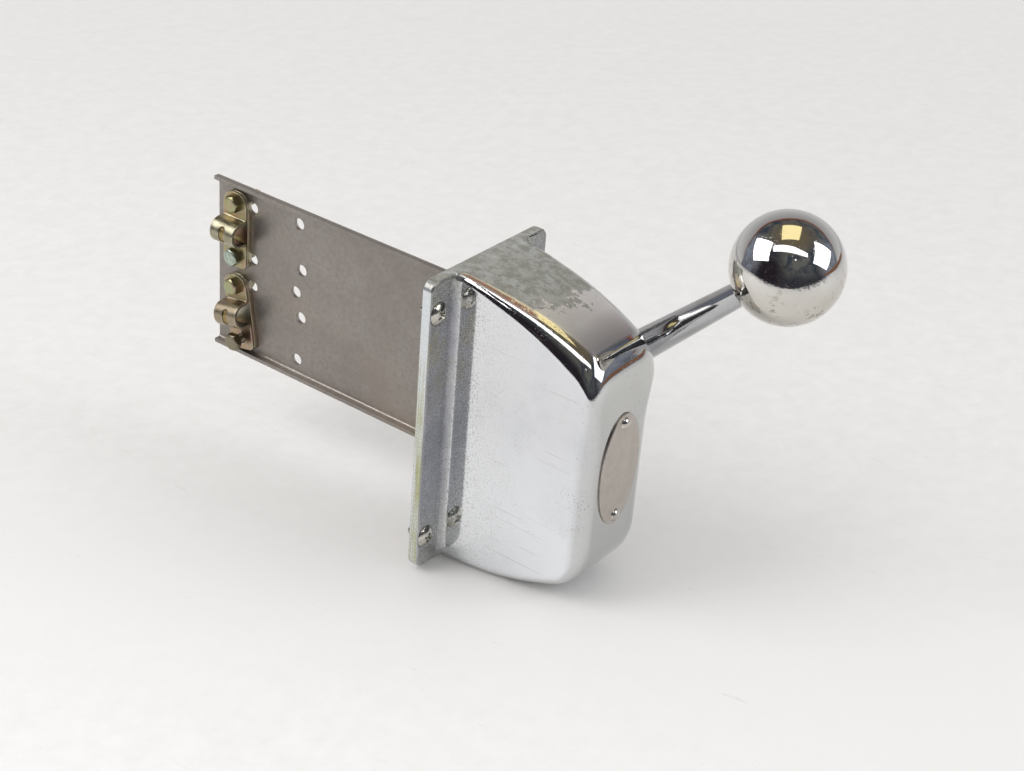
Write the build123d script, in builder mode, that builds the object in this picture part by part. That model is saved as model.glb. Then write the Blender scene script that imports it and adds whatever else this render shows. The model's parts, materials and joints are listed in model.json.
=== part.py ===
from build123d import *
from math import asin, cos, hypot, pi, radians, sin, sqrt, tan
import os

# Boat throttle control: one lever with a ball knob on a panel-mounted housing.
# Units are millimetres. +X points out of the panel, +Y to the lever side, +Z up.
# The origin is the centre of the flange's back face, on the panel.

# ---- driving dimensions: housing ----
flange_w = 80.0
flange_h = 144.0
flange_t = 5.2
flange_corner_r = 5.0
housing_depth = 80.0
back_half_w = 24.0
front_half_w = 24.0
nose_z = 50.5
brow_r = 148.0
chin_z = 54.0
belly_r = 125.0
nose_top_r = 12.0
nose_bottom_r = 20.0
edge_r = 5.0
junction_r = 4.0
junction_end = 6.0  # the concave fillets stop this far from the flange's ends
wall = 2.8
tail = 12.0  # how far the block's curves run on behind the flange's back before it is cut

# ---- driving dimensions: panel screws ----
panel_screw_y = 34.6
panel_screw_z = 56.4
panel_screw_d = 4.8
panel_thread_d = 4.4  # behind the flange, where a panel or a nut goes on
panel_head_d = 10.4
panel_head_rise = 2.1
panel_screw_out = 3.8
recess_w = 1.3
recess_l = 5.2
recess_depth = 2.0
countersink_angle = 82.0

# ---- driving dimensions: nameplate ----
plate_oval_h = 55.0
plate_oval_w = 28.0
plate_oval_t = 0.9
plate_oval_z = -3.0
rivet_pitch = 46.4
rivet_head_d = 6.0
rivet_head_h = 2.0
rivet_d = 2.4

# ---- driving dimensions: back plate ----
chassis_y = 16.7
chassis_t = 1.9
chassis_h = 91.8
chassis_lip = 3.5
chassis_bend_r = 1.5
chassis_rear_x = -174.0
chassis_front_x = 62.0
chassis_hole_d = 6.2
spare_rear_x = -151.2
spare_outer_z = 35.0
spare_inner_z = 7.4
spare_middle_x = -119.0
spare_middle_z = 12.9
spare_edge_x = -121.2
spare_edge_z = 36.8
spare_front_x = -122.6
chassis_screw_d = 5.0
chassis_head_d = 9.0
chassis_head_h = 3.0
chassis_boss_d = 11.0
chassis_screw_rear_x = 12.0
chassis_screw_front_x = 52.0
chassis_screw_z = 35.0
blind_floor = 1.0
blind_gap = 0.2

# ---- driving dimensions: cable clamps ----
clamp_pitch = 28.4
clamp_width = 15.0
clamp_end = 5.8
clamp_top_r = 6.6  # corners at a clamp's upper end, which is nearly a half circle
clamp_low_r = 3.0  # corners at its lower end
clamp_bend_r = 1.0
clamp_hole_gap = 0.3
saddle_t = 1.7
strip_t = 2.2
cable_hub_d = 9.6
clamp_x = -160.0
clamp_tilt_x = -155.2
clamp_top_z = 36.0
clamp_low_z = -8.8
clamp_low_drop = 27.6  # height between the lower clamp's two screws, which lean
press_slot_l = 9.0
press_slot_w = 2.6
press_slot_depth = 0.8
clamp_screw_d = 4.8
clamp_screw_out = 11.0
clamp_loose = 4.0  # how far the lowest screw stands off its saddle
hex_af = 8.0
hex_head_h = 3.8
washer_t = 1.0
washer_d = 10.0
nut_h = 4.0

# ---- driving dimensions: lever ----
pivot_x = 25.0
lever_y = 36.0
lever_angle = 43.8
lever_travel = 60.0
lever_length = 140.0
ball_d = 47.6
arm_root_d = 18.0
arm_tip_d = 10.4
spigot_d = 8.0
spigot_l = 17.0
spigot_seat_d = 12.0
hub_d = 32.0
hub_half_w = 10.2
hub_wall = 3.0
hub_round = 2.5
set_screw_d = 6.0
set_screw_l = 8.0
set_screw_socket = 3.0

# ---- driving dimensions: shaft, bushes and friction brake ----
shaft_d = 12.7
journal_d = 9.0
journal_l = 5.2
bush_wall = 2.1
bush_flange_d = 24.0
bush_flange_t = 1.2
pad_d = 30.0
pad_rise = 0.4
near_boss_d = 20.0
near_boss_y = -15.5
near_bush_wall = 1.5
near_bush_l = 4.6
shoulder_gap = 1.0
running_gap = 0.05
seat_gap = 0.02
disc_d = 28.0
disc_t = 2.0
disc_gap = 0.35
press_flange_t = 2.0
drive_hub_d = 24.0
drive_hub_near_y = -3.0
spring_d = 22.0
spring_t = 0.9
spring_cone = 0.6
brake_nut_af = 19.0
brake_nut_h = 6.0
cross_pin_d = 4.0
split_pin_d = 2.0
split_pin_l = 18.0

# ---- driving dimensions: drive arm, swivels and stops ----
arm_near_y = -1.0
arm_t = 4.0
arm_half_w = 8.0
upper_radius = 32.0
lower_radius = 20.0
swivel_d = 13.0
swivel_h = 9.6
swivel_gap = 0.15
swivel_spigot_d = 6.0
rod_hole_d = 4.8
clip_d = 11.0
clip_t = 0.8
stop_d = 6.0
stop_reach = 14.0
stop_gap = 0.15
stop_rivet_d = 4.0
stop_rivet_out = 0.6

# ---- derived places ----
side_slope = (front_half_w - back_half_w) / (housing_depth - flange_t)
chassis_far_y = chassis_y + chassis_t
strip_y = chassis_y - strip_t
saddle_y = strip_y - saddle_t
pad_y = back_half_w + pad_rise
hub_y = pad_y + bush_flange_t
hub_far_y = lever_y + hub_half_w
arm_far_y = arm_near_y + arm_t
disc_y = chassis_y - disc_t
press_y = disc_y - press_flange_t
bush_d = shaft_d + 2 * running_gap + 2 * bush_wall
shaft_near_y = near_boss_y + shoulder_gap
spring_y = drive_hub_near_y
spring_h = spring_t + spring_cone
brake_nut_y = spring_y - 2 * spring_h
seat_s = sqrt((ball_d / 2) ** 2 - (spigot_seat_d / 2) ** 2)
arm_end = lever_length - seat_s
pivot = Vector(pivot_x, 0, 0)
lever_dir = Vector(cos(radians(lever_angle)), 0, sin(radians(lever_angle)))
drive_dir = Vector(-sin(radians(lever_angle)), 0, cos(radians(lever_angle)))


def arc_height(x, radius, front_z, inset):
    """Height at x of an arc from the flange's edge to (housing_depth, front_z), inset."""
    run = housing_depth - flange_t
    drop = flange_h / 2 - front_z
    chord = hypot(run, drop)
    rise = sqrt(radius ** 2 - chord ** 2 / 4)
    centre_x = (flange_t + housing_depth) / 2 - drop / chord * rise
    centre_z = (flange_h / 2 + front_z) / 2 - run / chord * rise
    return centre_z + sqrt((radius - inset) ** 2 - (x - centre_x) ** 2)


def brow(x, inset=0.0):
    """Height of the housing's curved top at x, inset into the wall."""
    return arc_height(x, brow_r, nose_z, inset)


def belly(x, inset=0.0):
    """Height of the housing's curved underside at x, inset into the wall."""
    return -arc_height(x, belly_r, chin_z, inset)


def half_width(x, inset=0.0):
    """Half the housing's width at x, inset into the wall."""
    return back_half_w + side_slope * (x - flange_t) - inset


def across(x, z, y, far=True):
    """A plane square to Y at (x, y, z), facing the lever side, or the near side."""
    return Plane(origin=(x, y, z), x_dir=(1, 0, 0) if not far else (-1, 0, 0),
                 z_dir=(0, 1, 0) if far else (0, -1, 0))


def side_profile(inset):
    """The housing seen from the side: two brow arcs and a flat nose."""
    front = housing_depth - inset
    middle = housing_depth / 2
    with BuildSketch(Plane.XZ.offset(-flange_w / 2)) as profile:
        with BuildLine():
            Line((-tail, belly(-tail, inset)), (-tail, brow(-tail, inset)))
            ThreePointArc((-tail, brow(-tail, inset)), (middle, brow(middle, inset)),
                          (front, brow(front, inset)))
            Line((front, brow(front, inset)), (front, belly(front, inset)))
            ThreePointArc((front, belly(front, inset)), (middle, belly(middle, inset)),
                          (-tail, belly(-tail, inset)))
        make_face()
        nose = profile.vertices().group_by(Axis.X)[-1].sort_by(Axis.Y)
        fillet(nose[-1], nose_top_r - inset)
        nose = profile.vertices().group_by(Axis.X)[-1].sort_by(Axis.Y)
        fillet(nose[0], nose_bottom_r - inset)
    return profile.sketch


def top_profile(inset):
    """The housing seen from above: a block that narrows a little to the front."""
    front = housing_depth - inset
    with BuildSketch(Plane.XY.offset(-flange_h)) as profile:
        with BuildLine():
            Polyline((-tail, -half_width(-tail, inset)), (front, -half_width(front, inset)),
                     (front, half_width(front, inset)), (-tail, half_width(-tail, inset)),
                     close=True)
        make_face()
    return profile.sketch


def housing_block(inset, rounding):
    """A solid of the housing's form, inset into its wall, with rounded side edges."""
    with BuildPart() as block:
        add(side_profile(inset))
        extrude(amount=flange_w, dir=(0, -1, 0))
        add(top_profile(inset))
        extrude(amount=2 * flange_h, dir=(0, 0, 1), mode=Mode.INTERSECT)
        sides = block.faces().filter_by(lambda face: abs(face.normal_at().Y) > 0.99)
        rims = ShapeList(edge for face in sides for edge in face.edges()
                         if edge.center().X > 0)
        fillet(rims, rounding)
    return block.part


def dome(rise, radius):
    """Middle point of the arc from a dome's crown at (rise, 0) to its rim at (0, radius)."""
    sphere_r = (rise ** 2 + radius ** 2) / (2 * rise)
    half_angle = asin(radius / sphere_r) / 2
    return (rise - sphere_r + sphere_r * cos(half_angle), sphere_r * sin(half_angle))


def along_lever(distance):
    """A plane square to the lever, at a distance from the pivot."""
    return Plane(origin=pivot + Vector(0, lever_y, 0) + lever_dir * distance,
                 x_dir=(0, 1, 0), z_dir=lever_dir)


def drive_point(radius, y):
    """A point on the drive arm's centre line, at a radius from the pivot."""
    return pivot + drive_dir * radius + Vector(0, y, 0)


def clamp_frame(upper_hole, lower_hole):
    """A clamp's own plane: x up its screw line, y out of the plate, z along the cable."""
    (upper_x, upper_z), (lower_x, lower_z) = upper_hole, lower_hole
    line = Vector(upper_x - lower_x, 0, upper_z - lower_z).normalized()
    middle = Vector((upper_x + lower_x) / 2, strip_y, (upper_z + lower_z) / 2)
    return Plane(origin=middle, x_dir=line, z_dir=line.cross(Vector(0, -1, 0)))


def face_frame(frame, height):
    """A clamp's plane turned to look down on it, at a height above its strip."""
    return Plane(origin=frame.origin + frame.y_dir * height, x_dir=frame.x_dir,
                 z_dir=frame.y_dir)


def screw_centres(frame):
    """The two screw centres of a clamp, as (x, z)."""
    ends = [frame.origin + frame.x_dir * side * clamp_pitch / 2 for side in (1, -1)]
    return [(end.X, end.Z) for end in ends]


def chassis_screw_places():
    """Centres of the four screws that hold the back plate in the housing, as (x, z)."""
    return [(x, z) for x in (chassis_screw_rear_x, chassis_screw_front_x)
            for z in (-chassis_screw_z, chassis_screw_z)]


def panel_screw_places():
    """Centres of the four panel screws on the flange, as (y, z)."""
    return [(y, z) for y in (-panel_screw_y, panel_screw_y)
            for z in (-panel_screw_z, panel_screw_z)]


# ---- housing ----
cavity = housing_block(wall, edge_r - wall)
front_of_flange = Plane.YZ.offset(flange_t)

with BuildPart() as housing:
    add(housing_block(0.0, edge_r))
    split(bisect_by=front_of_flange, keep=Keep.TOP)
    with BuildSketch(Plane.YZ):
        RectangleRounded(flange_w, flange_h, flange_corner_r)
    extrude(amount=flange_t)
    # concave fillets where the sides meet the flange
    for side in (-1, 1):
        root_y = side * half_width(flange_t)
        far_y = side * (half_width(flange_t) + junction_r)
        with BuildSketch(Plane.XY.offset(junction_end - flange_h / 2)):
            with BuildLine():
                corner = (flange_t + junction_r, side * half_width(flange_t + junction_r))
                bow = junction_r * (1 - cos(pi / 4))
                Line(corner, (flange_t, root_y))
                Line((flange_t, root_y), (flange_t, far_y))
                ThreePointArc((flange_t, far_y), (flange_t + bow, root_y + side * bow), corner)
            make_face()
        extrude(amount=flange_h - 2 * junction_end)
    add(cavity, mode=Mode.SUBTRACT)
    # bosses inside the far wall for the back plate, and round the shaft
    for x, z in chassis_screw_places():
        with BuildSketch(across(x, z, chassis_far_y)):
            Circle(chassis_boss_d / 2)
        extrude(amount=half_width(x) - wall / 2 - chassis_far_y)
    with BuildSketch(across(pivot_x, 0, chassis_far_y)):
        Circle(pad_d / 2)
    extrude(amount=pad_y - chassis_far_y)
    with BuildSketch(across(pivot_x, 0, near_boss_y, far=False)):
        Circle(near_boss_d / 2)
    extrude(amount=half_width(pivot_x) - wall / 2 + near_boss_y)
    # holes: bush, inner bush, chassis screws, panel screws, nameplate rivets
    with BuildSketch(across(pivot_x, 0, chassis_far_y)):
        Circle(bush_d / 2 + seat_gap)
    extrude(amount=pad_y - chassis_far_y, mode=Mode.SUBTRACT)
    with BuildSketch(across(pivot_x, 0, near_boss_y, far=False)):
        Circle(journal_d / 2 + running_gap + near_bush_wall + seat_gap)
    extrude(amount=near_bush_l, mode=Mode.SUBTRACT)
    for x, z in chassis_screw_places():
        with BuildSketch(across(x, z, chassis_far_y)):
            Circle(chassis_screw_d / 2 + seat_gap)
        extrude(amount=half_width(x) - blind_floor - chassis_far_y, mode=Mode.SUBTRACT)
    with Locations(front_of_flange):
        with Locations(panel_screw_places()):
            CounterSinkHole(panel_screw_d / 2 + seat_gap, panel_head_d / 2 + seat_gap,
                            depth=flange_t)
    with Locations(Plane.YZ.offset(housing_depth)):
        with Locations((0, plate_oval_z - rivet_pitch / 2), (0, plate_oval_z + rivet_pitch / 2)):
            Hole(rivet_d / 2 + seat_gap, depth=wall)

with BuildPart() as panel_screws:
    head_r = panel_head_d / 2
    shank_r = panel_screw_d / 2
    thread_r = panel_thread_d / 2
    screw_end = flange_t + panel_screw_out
    cone_h = (head_r - shank_r) / tan(radians(countersink_angle / 2))
    for y, z in panel_screw_places():
        with BuildSketch(Plane(origin=(flange_t, y, z), x_dir=(1, 0, 0), z_dir=(0, -1, 0))):
            with BuildLine():
                ThreePointArc((panel_head_rise, 0), dome(panel_head_rise, head_r), (0, head_r))
                Polyline((0, head_r), (-cone_h, shank_r), (-flange_t, shank_r),
                         (-flange_t, thread_r), (-screw_end, thread_r), (-screw_end, 0),
                         (panel_head_rise, 0))
            make_face()
        revolve(axis=Axis((0, y, z), (1, 0, 0)))
        with BuildSketch(Plane(origin=(flange_t + panel_head_rise, y, z), x_dir=(0, 1, 0),
                               z_dir=(1, 0, 0))):
            Rectangle(recess_l, recess_w)
            Rectangle(recess_w, recess_l)
        extrude(amount=-recess_depth, mode=Mode.SUBTRACT)

# ---- nameplate and its two drive rivets ----
with BuildPart() as nameplate:
    with BuildSketch(Plane.YZ.offset(housing_depth)):
        with Locations((0, plate_oval_z)):
            Ellipse(plate_oval_w / 2, plate_oval_h / 2)
        with Locations((0, plate_oval_z - rivet_pitch / 2), (0, plate_oval_z + rivet_pitch / 2)):
            Circle(rivet_d / 2 + seat_gap, mode=Mode.SUBTRACT)
    extrude(amount=plate_oval_t)

with BuildPart() as nameplate_rivets:
    for side in (-1, 1):
        rivet_z = plate_oval_z + side * rivet_pitch / 2
        rivet_x = housing_depth + plate_oval_t
        with BuildSketch(Plane(origin=(rivet_x, 0, rivet_z), x_dir=(1, 0, 0), z_dir=(0, -1, 0))):
            with BuildLine():
                ThreePointArc((rivet_head_h, 0), dome(rivet_head_h, rivet_head_d / 2),
                              (0, rivet_head_d / 2))
                Polyline((0, rivet_head_d / 2), (0, rivet_d / 2),
                         (-plate_oval_t - wall, rivet_d / 2), (-plate_oval_t - wall, 0),
                         (rivet_head_h, 0))
            make_face()
        revolve(axis=Axis((0, 0, rivet_z), (1, 0, 0)))

# ---- back plate: a shallow channel with rows of holes for the cable clamps ----
upper_frame = clamp_frame((clamp_x, clamp_top_z), (clamp_x, clamp_top_z - clamp_pitch))
lower_frame = clamp_frame((clamp_x, clamp_low_z), (clamp_tilt_x, clamp_low_z - clamp_low_drop))
clamp_holes = screw_centres(upper_frame) + screw_centres(lower_frame)
spare_holes = [(spare_rear_x, spare_outer_z), (spare_rear_x, spare_inner_z),
               (spare_rear_x, -spare_inner_z), (spare_front_x, 0.0)]
for side in (-1, 1):
    spare_holes += [(spare_middle_x, side * spare_middle_z), (spare_edge_x, side * spare_edge_z)]


def stop_centre(side):
    """Centre of a stop pin, which the drive arm's edge meets at the end of its travel."""
    limit = radians(side * lever_travel)
    beside = arm_half_w + stop_d / 2 + stop_gap
    x = pivot_x + stop_reach * sin(limit) + side * beside * cos(limit)
    z = stop_reach * cos(limit) - side * beside * sin(limit)
    return (x, z)


with BuildPart() as back_plate:
    lip_y = chassis_y - chassis_lip
    top_z = chassis_h / 2
    with BuildSketch(Plane.YZ.offset(chassis_rear_x)) as channel:
        with BuildLine():
            Polyline((lip_y, -top_z), (chassis_far_y, -top_z), (chassis_far_y, top_z),
                     (lip_y, top_z), (lip_y, top_z - chassis_t), (chassis_y, top_z - chassis_t),
                     (chassis_y, chassis_t - top_z), (lip_y, chassis_t - top_z), close=True)
        make_face()
        fillet(channel.vertices().group_by(Axis.X)[-1], chassis_bend_r + chassis_t)
        inner = channel.vertices().filter_by(lambda v: abs(v.X - chassis_y) < 0.01)
        fillet(inner, chassis_bend_r)
    extrude(amount=chassis_front_x - chassis_rear_x)
    with BuildSketch(across(0, 0, chassis_y, far=False)):
        with Locations(clamp_holes + spare_holes):
            Circle(chassis_hole_d / 2)
        with Locations(chassis_screw_places()):
            Circle(chassis_screw_d / 2 + seat_gap)
        with Locations(stop_centre(-1), stop_centre(1)):
            Circle(stop_rivet_d / 2 + seat_gap)
        with Locations((pivot_x, 0)):
            Circle(bush_d / 2 + seat_gap)
    extrude(amount=-chassis_t, mode=Mode.SUBTRACT)

with BuildPart() as chassis_screws:
    for x, z in chassis_screw_places():
        with BuildSketch(across(x, z, chassis_y, far=False)):
            Circle(chassis_head_d / 2)
        extrude(amount=chassis_head_h)
        with BuildSketch(across(x, z, chassis_y)):
            Circle(chassis_screw_d / 2)
        extrude(amount=half_width(x) - blind_floor - blind_gap - chassis_y)

with BuildPart() as stop_pins:
    for side in (-1, 1):
        x, z = stop_centre(side)
        with BuildSketch(across(x, z, arm_near_y)):
            Circle(stop_d / 2)
        extrude(amount=chassis_y - arm_near_y)
        with BuildSketch(across(x, z, chassis_y)):
            Circle(stop_rivet_d / 2)
        extrude(amount=chassis_t + stop_rivet_out)


# ---- cable clamps: a flat strip, a saddle, two screws, washers and nuts each ----
def draw_clamp_outline(sketch):
    """Draws a clamp's face in a sketch: round at its upper end, with its two screw holes."""
    Rectangle(clamp_pitch + 2 * clamp_end, clamp_width)
    fillet(sketch.vertices().group_by(Axis.X)[-1], clamp_top_r)
    fillet(sketch.vertices().group_by(Axis.X)[0], clamp_low_r)
    with Locations((clamp_pitch / 2, 0), (-clamp_pitch / 2, 0)):
        Circle(clamp_screw_d / 2 + clamp_hole_gap, mode=Mode.SUBTRACT)


def clamp_strip(frame):
    """The flat strip between the plate and a saddle."""
    with BuildPart() as strip:
        with BuildSketch(face_frame(frame, 0)) as face:
            draw_clamp_outline(face)
        extrude(amount=-strip_t)
    return strip


def clamp_saddle(frame):
    """The bent strap that holds the cable's hub down on the strip."""
    cable_r = cable_hub_d / 2
    outer_r = cable_r + saddle_t
    length = clamp_pitch + 2 * clamp_end
    with BuildPart() as saddle:
        with BuildSketch(frame.offset(-clamp_width / 2)) as bend:
            with Locations((0, saddle_t / 2)):
                Rectangle(length, saddle_t)
            with Locations((0, cable_r / 2)):
                Rectangle(2 * outer_r, cable_r)
            with Locations((0, cable_r)):
                Circle(outer_r)
            with Locations((0, -outer_r)):
                Rectangle(length, 2 * outer_r, mode=Mode.SUBTRACT)
            feet = bend.vertices().filter_by(lambda v: abs(abs(v.X) - outer_r) < 0.01
                                             and abs(v.Y - saddle_t) < 0.01)
            fillet(feet, clamp_bend_r)
            with Locations((0, cable_r)):
                Circle(cable_r, mode=Mode.SUBTRACT)
            with Locations((0, cable_r / 2)):
                Rectangle(cable_hub_d, cable_r, mode=Mode.SUBTRACT)
            toes = bend.vertices().filter_by(lambda v: abs(abs(v.X) - cable_r) < 0.01
                                             and abs(v.Y) < 0.01)
            fillet(toes, clamp_bend_r + saddle_t)
        extrude(amount=clamp_width)
        with BuildSketch(face_frame(frame, 0)) as face:
            draw_clamp_outline(face)
        extrude(amount=2 * outer_r, mode=Mode.INTERSECT)
        with BuildSketch(face_frame(frame, cable_hub_d + saddle_t - press_slot_depth)):
            Rectangle(press_slot_l, press_slot_w)
        extrude(amount=saddle_t, mode=Mode.SUBTRACT)
    return saddle


clamp_places = [(x, z, 0.0) for x, z in screw_centres(upper_frame)]
clamp_places += [(x, z, loose) for (x, z), loose in zip(screw_centres(lower_frame),
                                                        (0.0, clamp_loose))]

with BuildPart() as clamp_screws:
    for x, z, loose in clamp_places:
        with BuildSketch(across(x, z, saddle_y - loose, far=False)):
            RegularPolygon(hex_af / 2, 6, major_radius=False)
        extrude(amount=hex_head_h)
        with BuildSketch(across(x, z, saddle_y - loose)):
            Circle(clamp_screw_d / 2)
        extrude(amount=chassis_far_y + clamp_screw_out - saddle_y)

with BuildPart() as clamp_washers:
    for x, z, loose in clamp_places:
        with BuildSketch(across(x, z, chassis_far_y)):
            Circle(washer_d / 2)
            Circle(clamp_screw_d / 2 + seat_gap, mode=Mode.SUBTRACT)
        extrude(amount=washer_t)

with BuildPart() as clamp_nuts:
    for x, z, loose in clamp_places:
        with BuildSketch(across(x, z, chassis_far_y + washer_t)):
            RegularPolygon(hex_af / 2, 6, major_radius=False)
            Circle(clamp_screw_d / 2 + seat_gap, mode=Mode.SUBTRACT)
        extrude(amount=nut_h)

# ---- bushes, and the brake disc between the plate and the drive arm ----
shaft_r = shaft_d / 2
bore_r = shaft_r + running_gap

with BuildPart() as wall_bush:
    with BuildSketch(across(pivot_x, 0, chassis_y)):
        Circle(bush_d / 2)
        Circle(bore_r, mode=Mode.SUBTRACT)
    extrude(amount=pad_y - chassis_y)
    with BuildSketch(across(pivot_x, 0, pad_y)):
        Circle(bush_flange_d / 2)
        Circle(bore_r, mode=Mode.SUBTRACT)
    extrude(amount=bush_flange_t)

with BuildPart() as inner_bush:
    with BuildSketch(across(pivot_x, 0, near_boss_y, far=False)):
        Circle(journal_d / 2 + running_gap + near_bush_wall)
        Circle(journal_d / 2 + running_gap, mode=Mode.SUBTRACT)
    extrude(amount=near_bush_l)

with BuildPart() as brake_disc:
    with BuildSketch(across(pivot_x, 0, disc_y)):
        Circle(disc_d / 2)
        Circle(bore_r + disc_gap, mode=Mode.SUBTRACT)
    extrude(amount=disc_t)

# ---- lever: arm with its hub, ball knob, set screw ----
with BuildPart() as lever_arm:
    with BuildSketch(across(pivot_x, 0, hub_y)):
        Circle(hub_d / 2)
    extrude(amount=hub_far_y - hub_y)
    fillet(lever_arm.edges().sort_by(Axis.Y)[-1], hub_round)
    with BuildSketch(along_lever(0)):
        Circle(arm_root_d / 2)
    with BuildSketch(along_lever(arm_end)):
        Circle(arm_tip_d / 2)
    loft()
    with BuildSketch(along_lever(arm_end)):
        Circle(spigot_d / 2)
    extrude(amount=spigot_l)
    with BuildSketch(across(pivot_x, 0, hub_y)):
        Circle(shaft_r + seat_gap)
    extrude(amount=hub_far_y - hub_wall - hub_y, mode=Mode.SUBTRACT)
    with BuildSketch(along_lever(-hub_d / 2)):
        Circle(set_screw_d / 2 + seat_gap)
    extrude(amount=hub_d / 2 - shaft_r, mode=Mode.SUBTRACT)

with BuildPart() as hub_set_screw:
    with BuildSketch(along_lever(-shaft_r - seat_gap - set_screw_l)):
        Circle(set_screw_d / 2)
    extrude(amount=set_screw_l)
    with BuildSketch(along_lever(-shaft_r - seat_gap - set_screw_l)):
        RegularPolygon(set_screw_socket / 2, 6, major_radius=False)
    extrude(amount=set_screw_socket, mode=Mode.SUBTRACT)

with BuildPart() as ball_knob:
    with Locations(along_lever(lever_length)):
        Sphere(ball_d / 2)
    with BuildSketch(along_lever(arm_end)):
        Circle(ball_d / 2)
    extrude(amount=-ball_d / 2, mode=Mode.SUBTRACT)
    with BuildSketch(along_lever(arm_end)):
        Circle(spigot_d / 2 + seat_gap)
    extrude(amount=spigot_l + seat_gap, mode=Mode.SUBTRACT)

# ---- shaft, with the drive arm pinned on it inside the housing ----
pin_y = (arm_far_y + press_y) / 2
pin_line = Plane(origin=(pivot_x, pin_y, 0), x_dir=(0, 1, 0),
                 z_dir=drive_dir.cross(Vector(0, 1, 0)))
split_pin_y = brake_nut_y - brake_nut_h - split_pin_d / 2 - seat_gap
split_line = Plane(origin=(pivot_x, split_pin_y, 0), x_dir=(0, 1, 0), z_dir=drive_dir)

with BuildPart() as lever_shaft:
    with BuildSketch(across(pivot_x, 0, shaft_near_y)):
        Circle(shaft_r)
    extrude(amount=hub_far_y - hub_wall - seat_gap - shaft_near_y)
    with BuildSketch(across(pivot_x, 0, shaft_near_y, far=False)):
        Circle(journal_d / 2)
    extrude(amount=journal_l)
    with BuildSketch(pin_line):
        Circle(cross_pin_d / 2 + seat_gap)
    extrude(amount=shaft_d, both=True, mode=Mode.SUBTRACT)
    with BuildSketch(split_line):
        Circle(split_pin_d / 2 + seat_gap)
    extrude(amount=shaft_d, both=True, mode=Mode.SUBTRACT)

with BuildPart() as drive_arm:
    with BuildSketch(across(pivot_x, 0, drive_hub_near_y)):
        Circle(drive_hub_d / 2)
    extrude(amount=press_y - drive_hub_near_y)
    with BuildSketch(across(pivot_x, 0, press_y)):
        Circle(disc_d / 2)
    extrude(amount=press_flange_t)
    with BuildSketch(Plane(origin=(pivot_x, arm_near_y, 0), x_dir=drive_dir, z_dir=(0, 1, 0))):
        with Locations((upper_radius / 2, 0)):
            Rectangle(upper_radius, 2 * arm_half_w)
        with Locations((upper_radius, 0)):
            Circle(arm_half_w)
    extrude(amount=arm_t)
    with BuildSketch(Plane(origin=(pivot_x, arm_near_y, 0), x_dir=drive_dir, z_dir=(0, 1, 0))):
        with Locations((upper_radius, 0), (lower_radius, 0)):
            Circle(swivel_spigot_d / 2 + running_gap)
    extrude(amount=arm_t, mode=Mode.SUBTRACT)
    with BuildSketch(across(pivot_x, 0, drive_hub_near_y)):
        Circle(shaft_r + seat_gap)
    extrude(amount=disc_y - drive_hub_near_y, mode=Mode.SUBTRACT)
    with BuildSketch(pin_line):
        Circle(cross_pin_d / 2 + seat_gap)
    extrude(amount=drive_hub_d, both=True, mode=Mode.SUBTRACT)

with BuildPart() as drive_pin:
    with BuildSketch(pin_line):
        Circle(cross_pin_d / 2)
    extrude(amount=drive_hub_d / 2, both=True)

# ---- brake spring, nut and split pin on the shaft's inner end ----
with BuildPart() as disc_springs:
    inner_r = bore_r + seat_gap
    outer_r = spring_d / 2
    for face_y, way in ((spring_y, -1), (brake_nut_y, 1)):
        with BuildSketch(Plane(origin=(pivot_x, face_y, 0))):
            with BuildLine():
                Polyline((outer_r, 0), (outer_r, way * spring_t),
                         (inner_r, way * spring_h), (inner_r, way * spring_cone), close=True)
            make_face()
        revolve(axis=Axis((pivot_x, 0, 0), (0, 1, 0)))

with BuildPart() as brake_nut:
    with BuildSketch(across(pivot_x, 0, brake_nut_y, far=False)):
        RegularPolygon(brake_nut_af / 2, 6, major_radius=False)
        Circle(shaft_r + seat_gap, mode=Mode.SUBTRACT)
    extrude(amount=brake_nut_h)

with BuildPart() as split_pin:
    with BuildSketch(split_line):
        Circle(split_pin_d / 2)
    extrude(amount=split_pin_l / 2, both=True)


# ---- cable swivels on the drive arm ----
def swivel(radius, side, frame):
    """A swivel block on the drive arm, bored along the line from its clamp."""
    face_y = arm_far_y + swivel_gap if side > 0 else arm_near_y - swivel_gap
    point = drive_point(radius, 0)
    middle_y = face_y + side * swivel_h / 2
    aim = Vector(point.X - frame.origin.X, 0, point.Z - frame.origin.Z).normalized()
    with BuildPart() as block:
        with BuildSketch(across(point.X, point.Z, face_y, far=side > 0)):
            Circle(swivel_d / 2)
        extrude(amount=swivel_h)
        with BuildSketch(across(point.X, point.Z, face_y, far=side > 0)):
            Circle(swivel_spigot_d / 2)
        extrude(amount=-(arm_t + 2 * swivel_gap + 2 * clip_t))
        with BuildSketch(Plane(origin=(point.X, middle_y, point.Z), x_dir=(0, 1, 0), z_dir=aim)):
            Circle(rod_hole_d / 2)
        extrude(amount=swivel_d, both=True, mode=Mode.SUBTRACT)
    return block


def swivel_clip(radius, side):
    """The ring that keeps a swivel block in the drive arm."""
    face_y = arm_near_y - swivel_gap if side > 0 else arm_far_y + swivel_gap
    point = drive_point(radius, 0)
    with BuildPart() as clip:
        with BuildSketch(across(point.X, point.Z, face_y, far=side < 0)):
            Circle(clip_d / 2)
            Circle(swivel_spigot_d / 2 + seat_gap, mode=Mode.SUBTRACT)
        extrude(amount=clip_t)
    return clip


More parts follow.
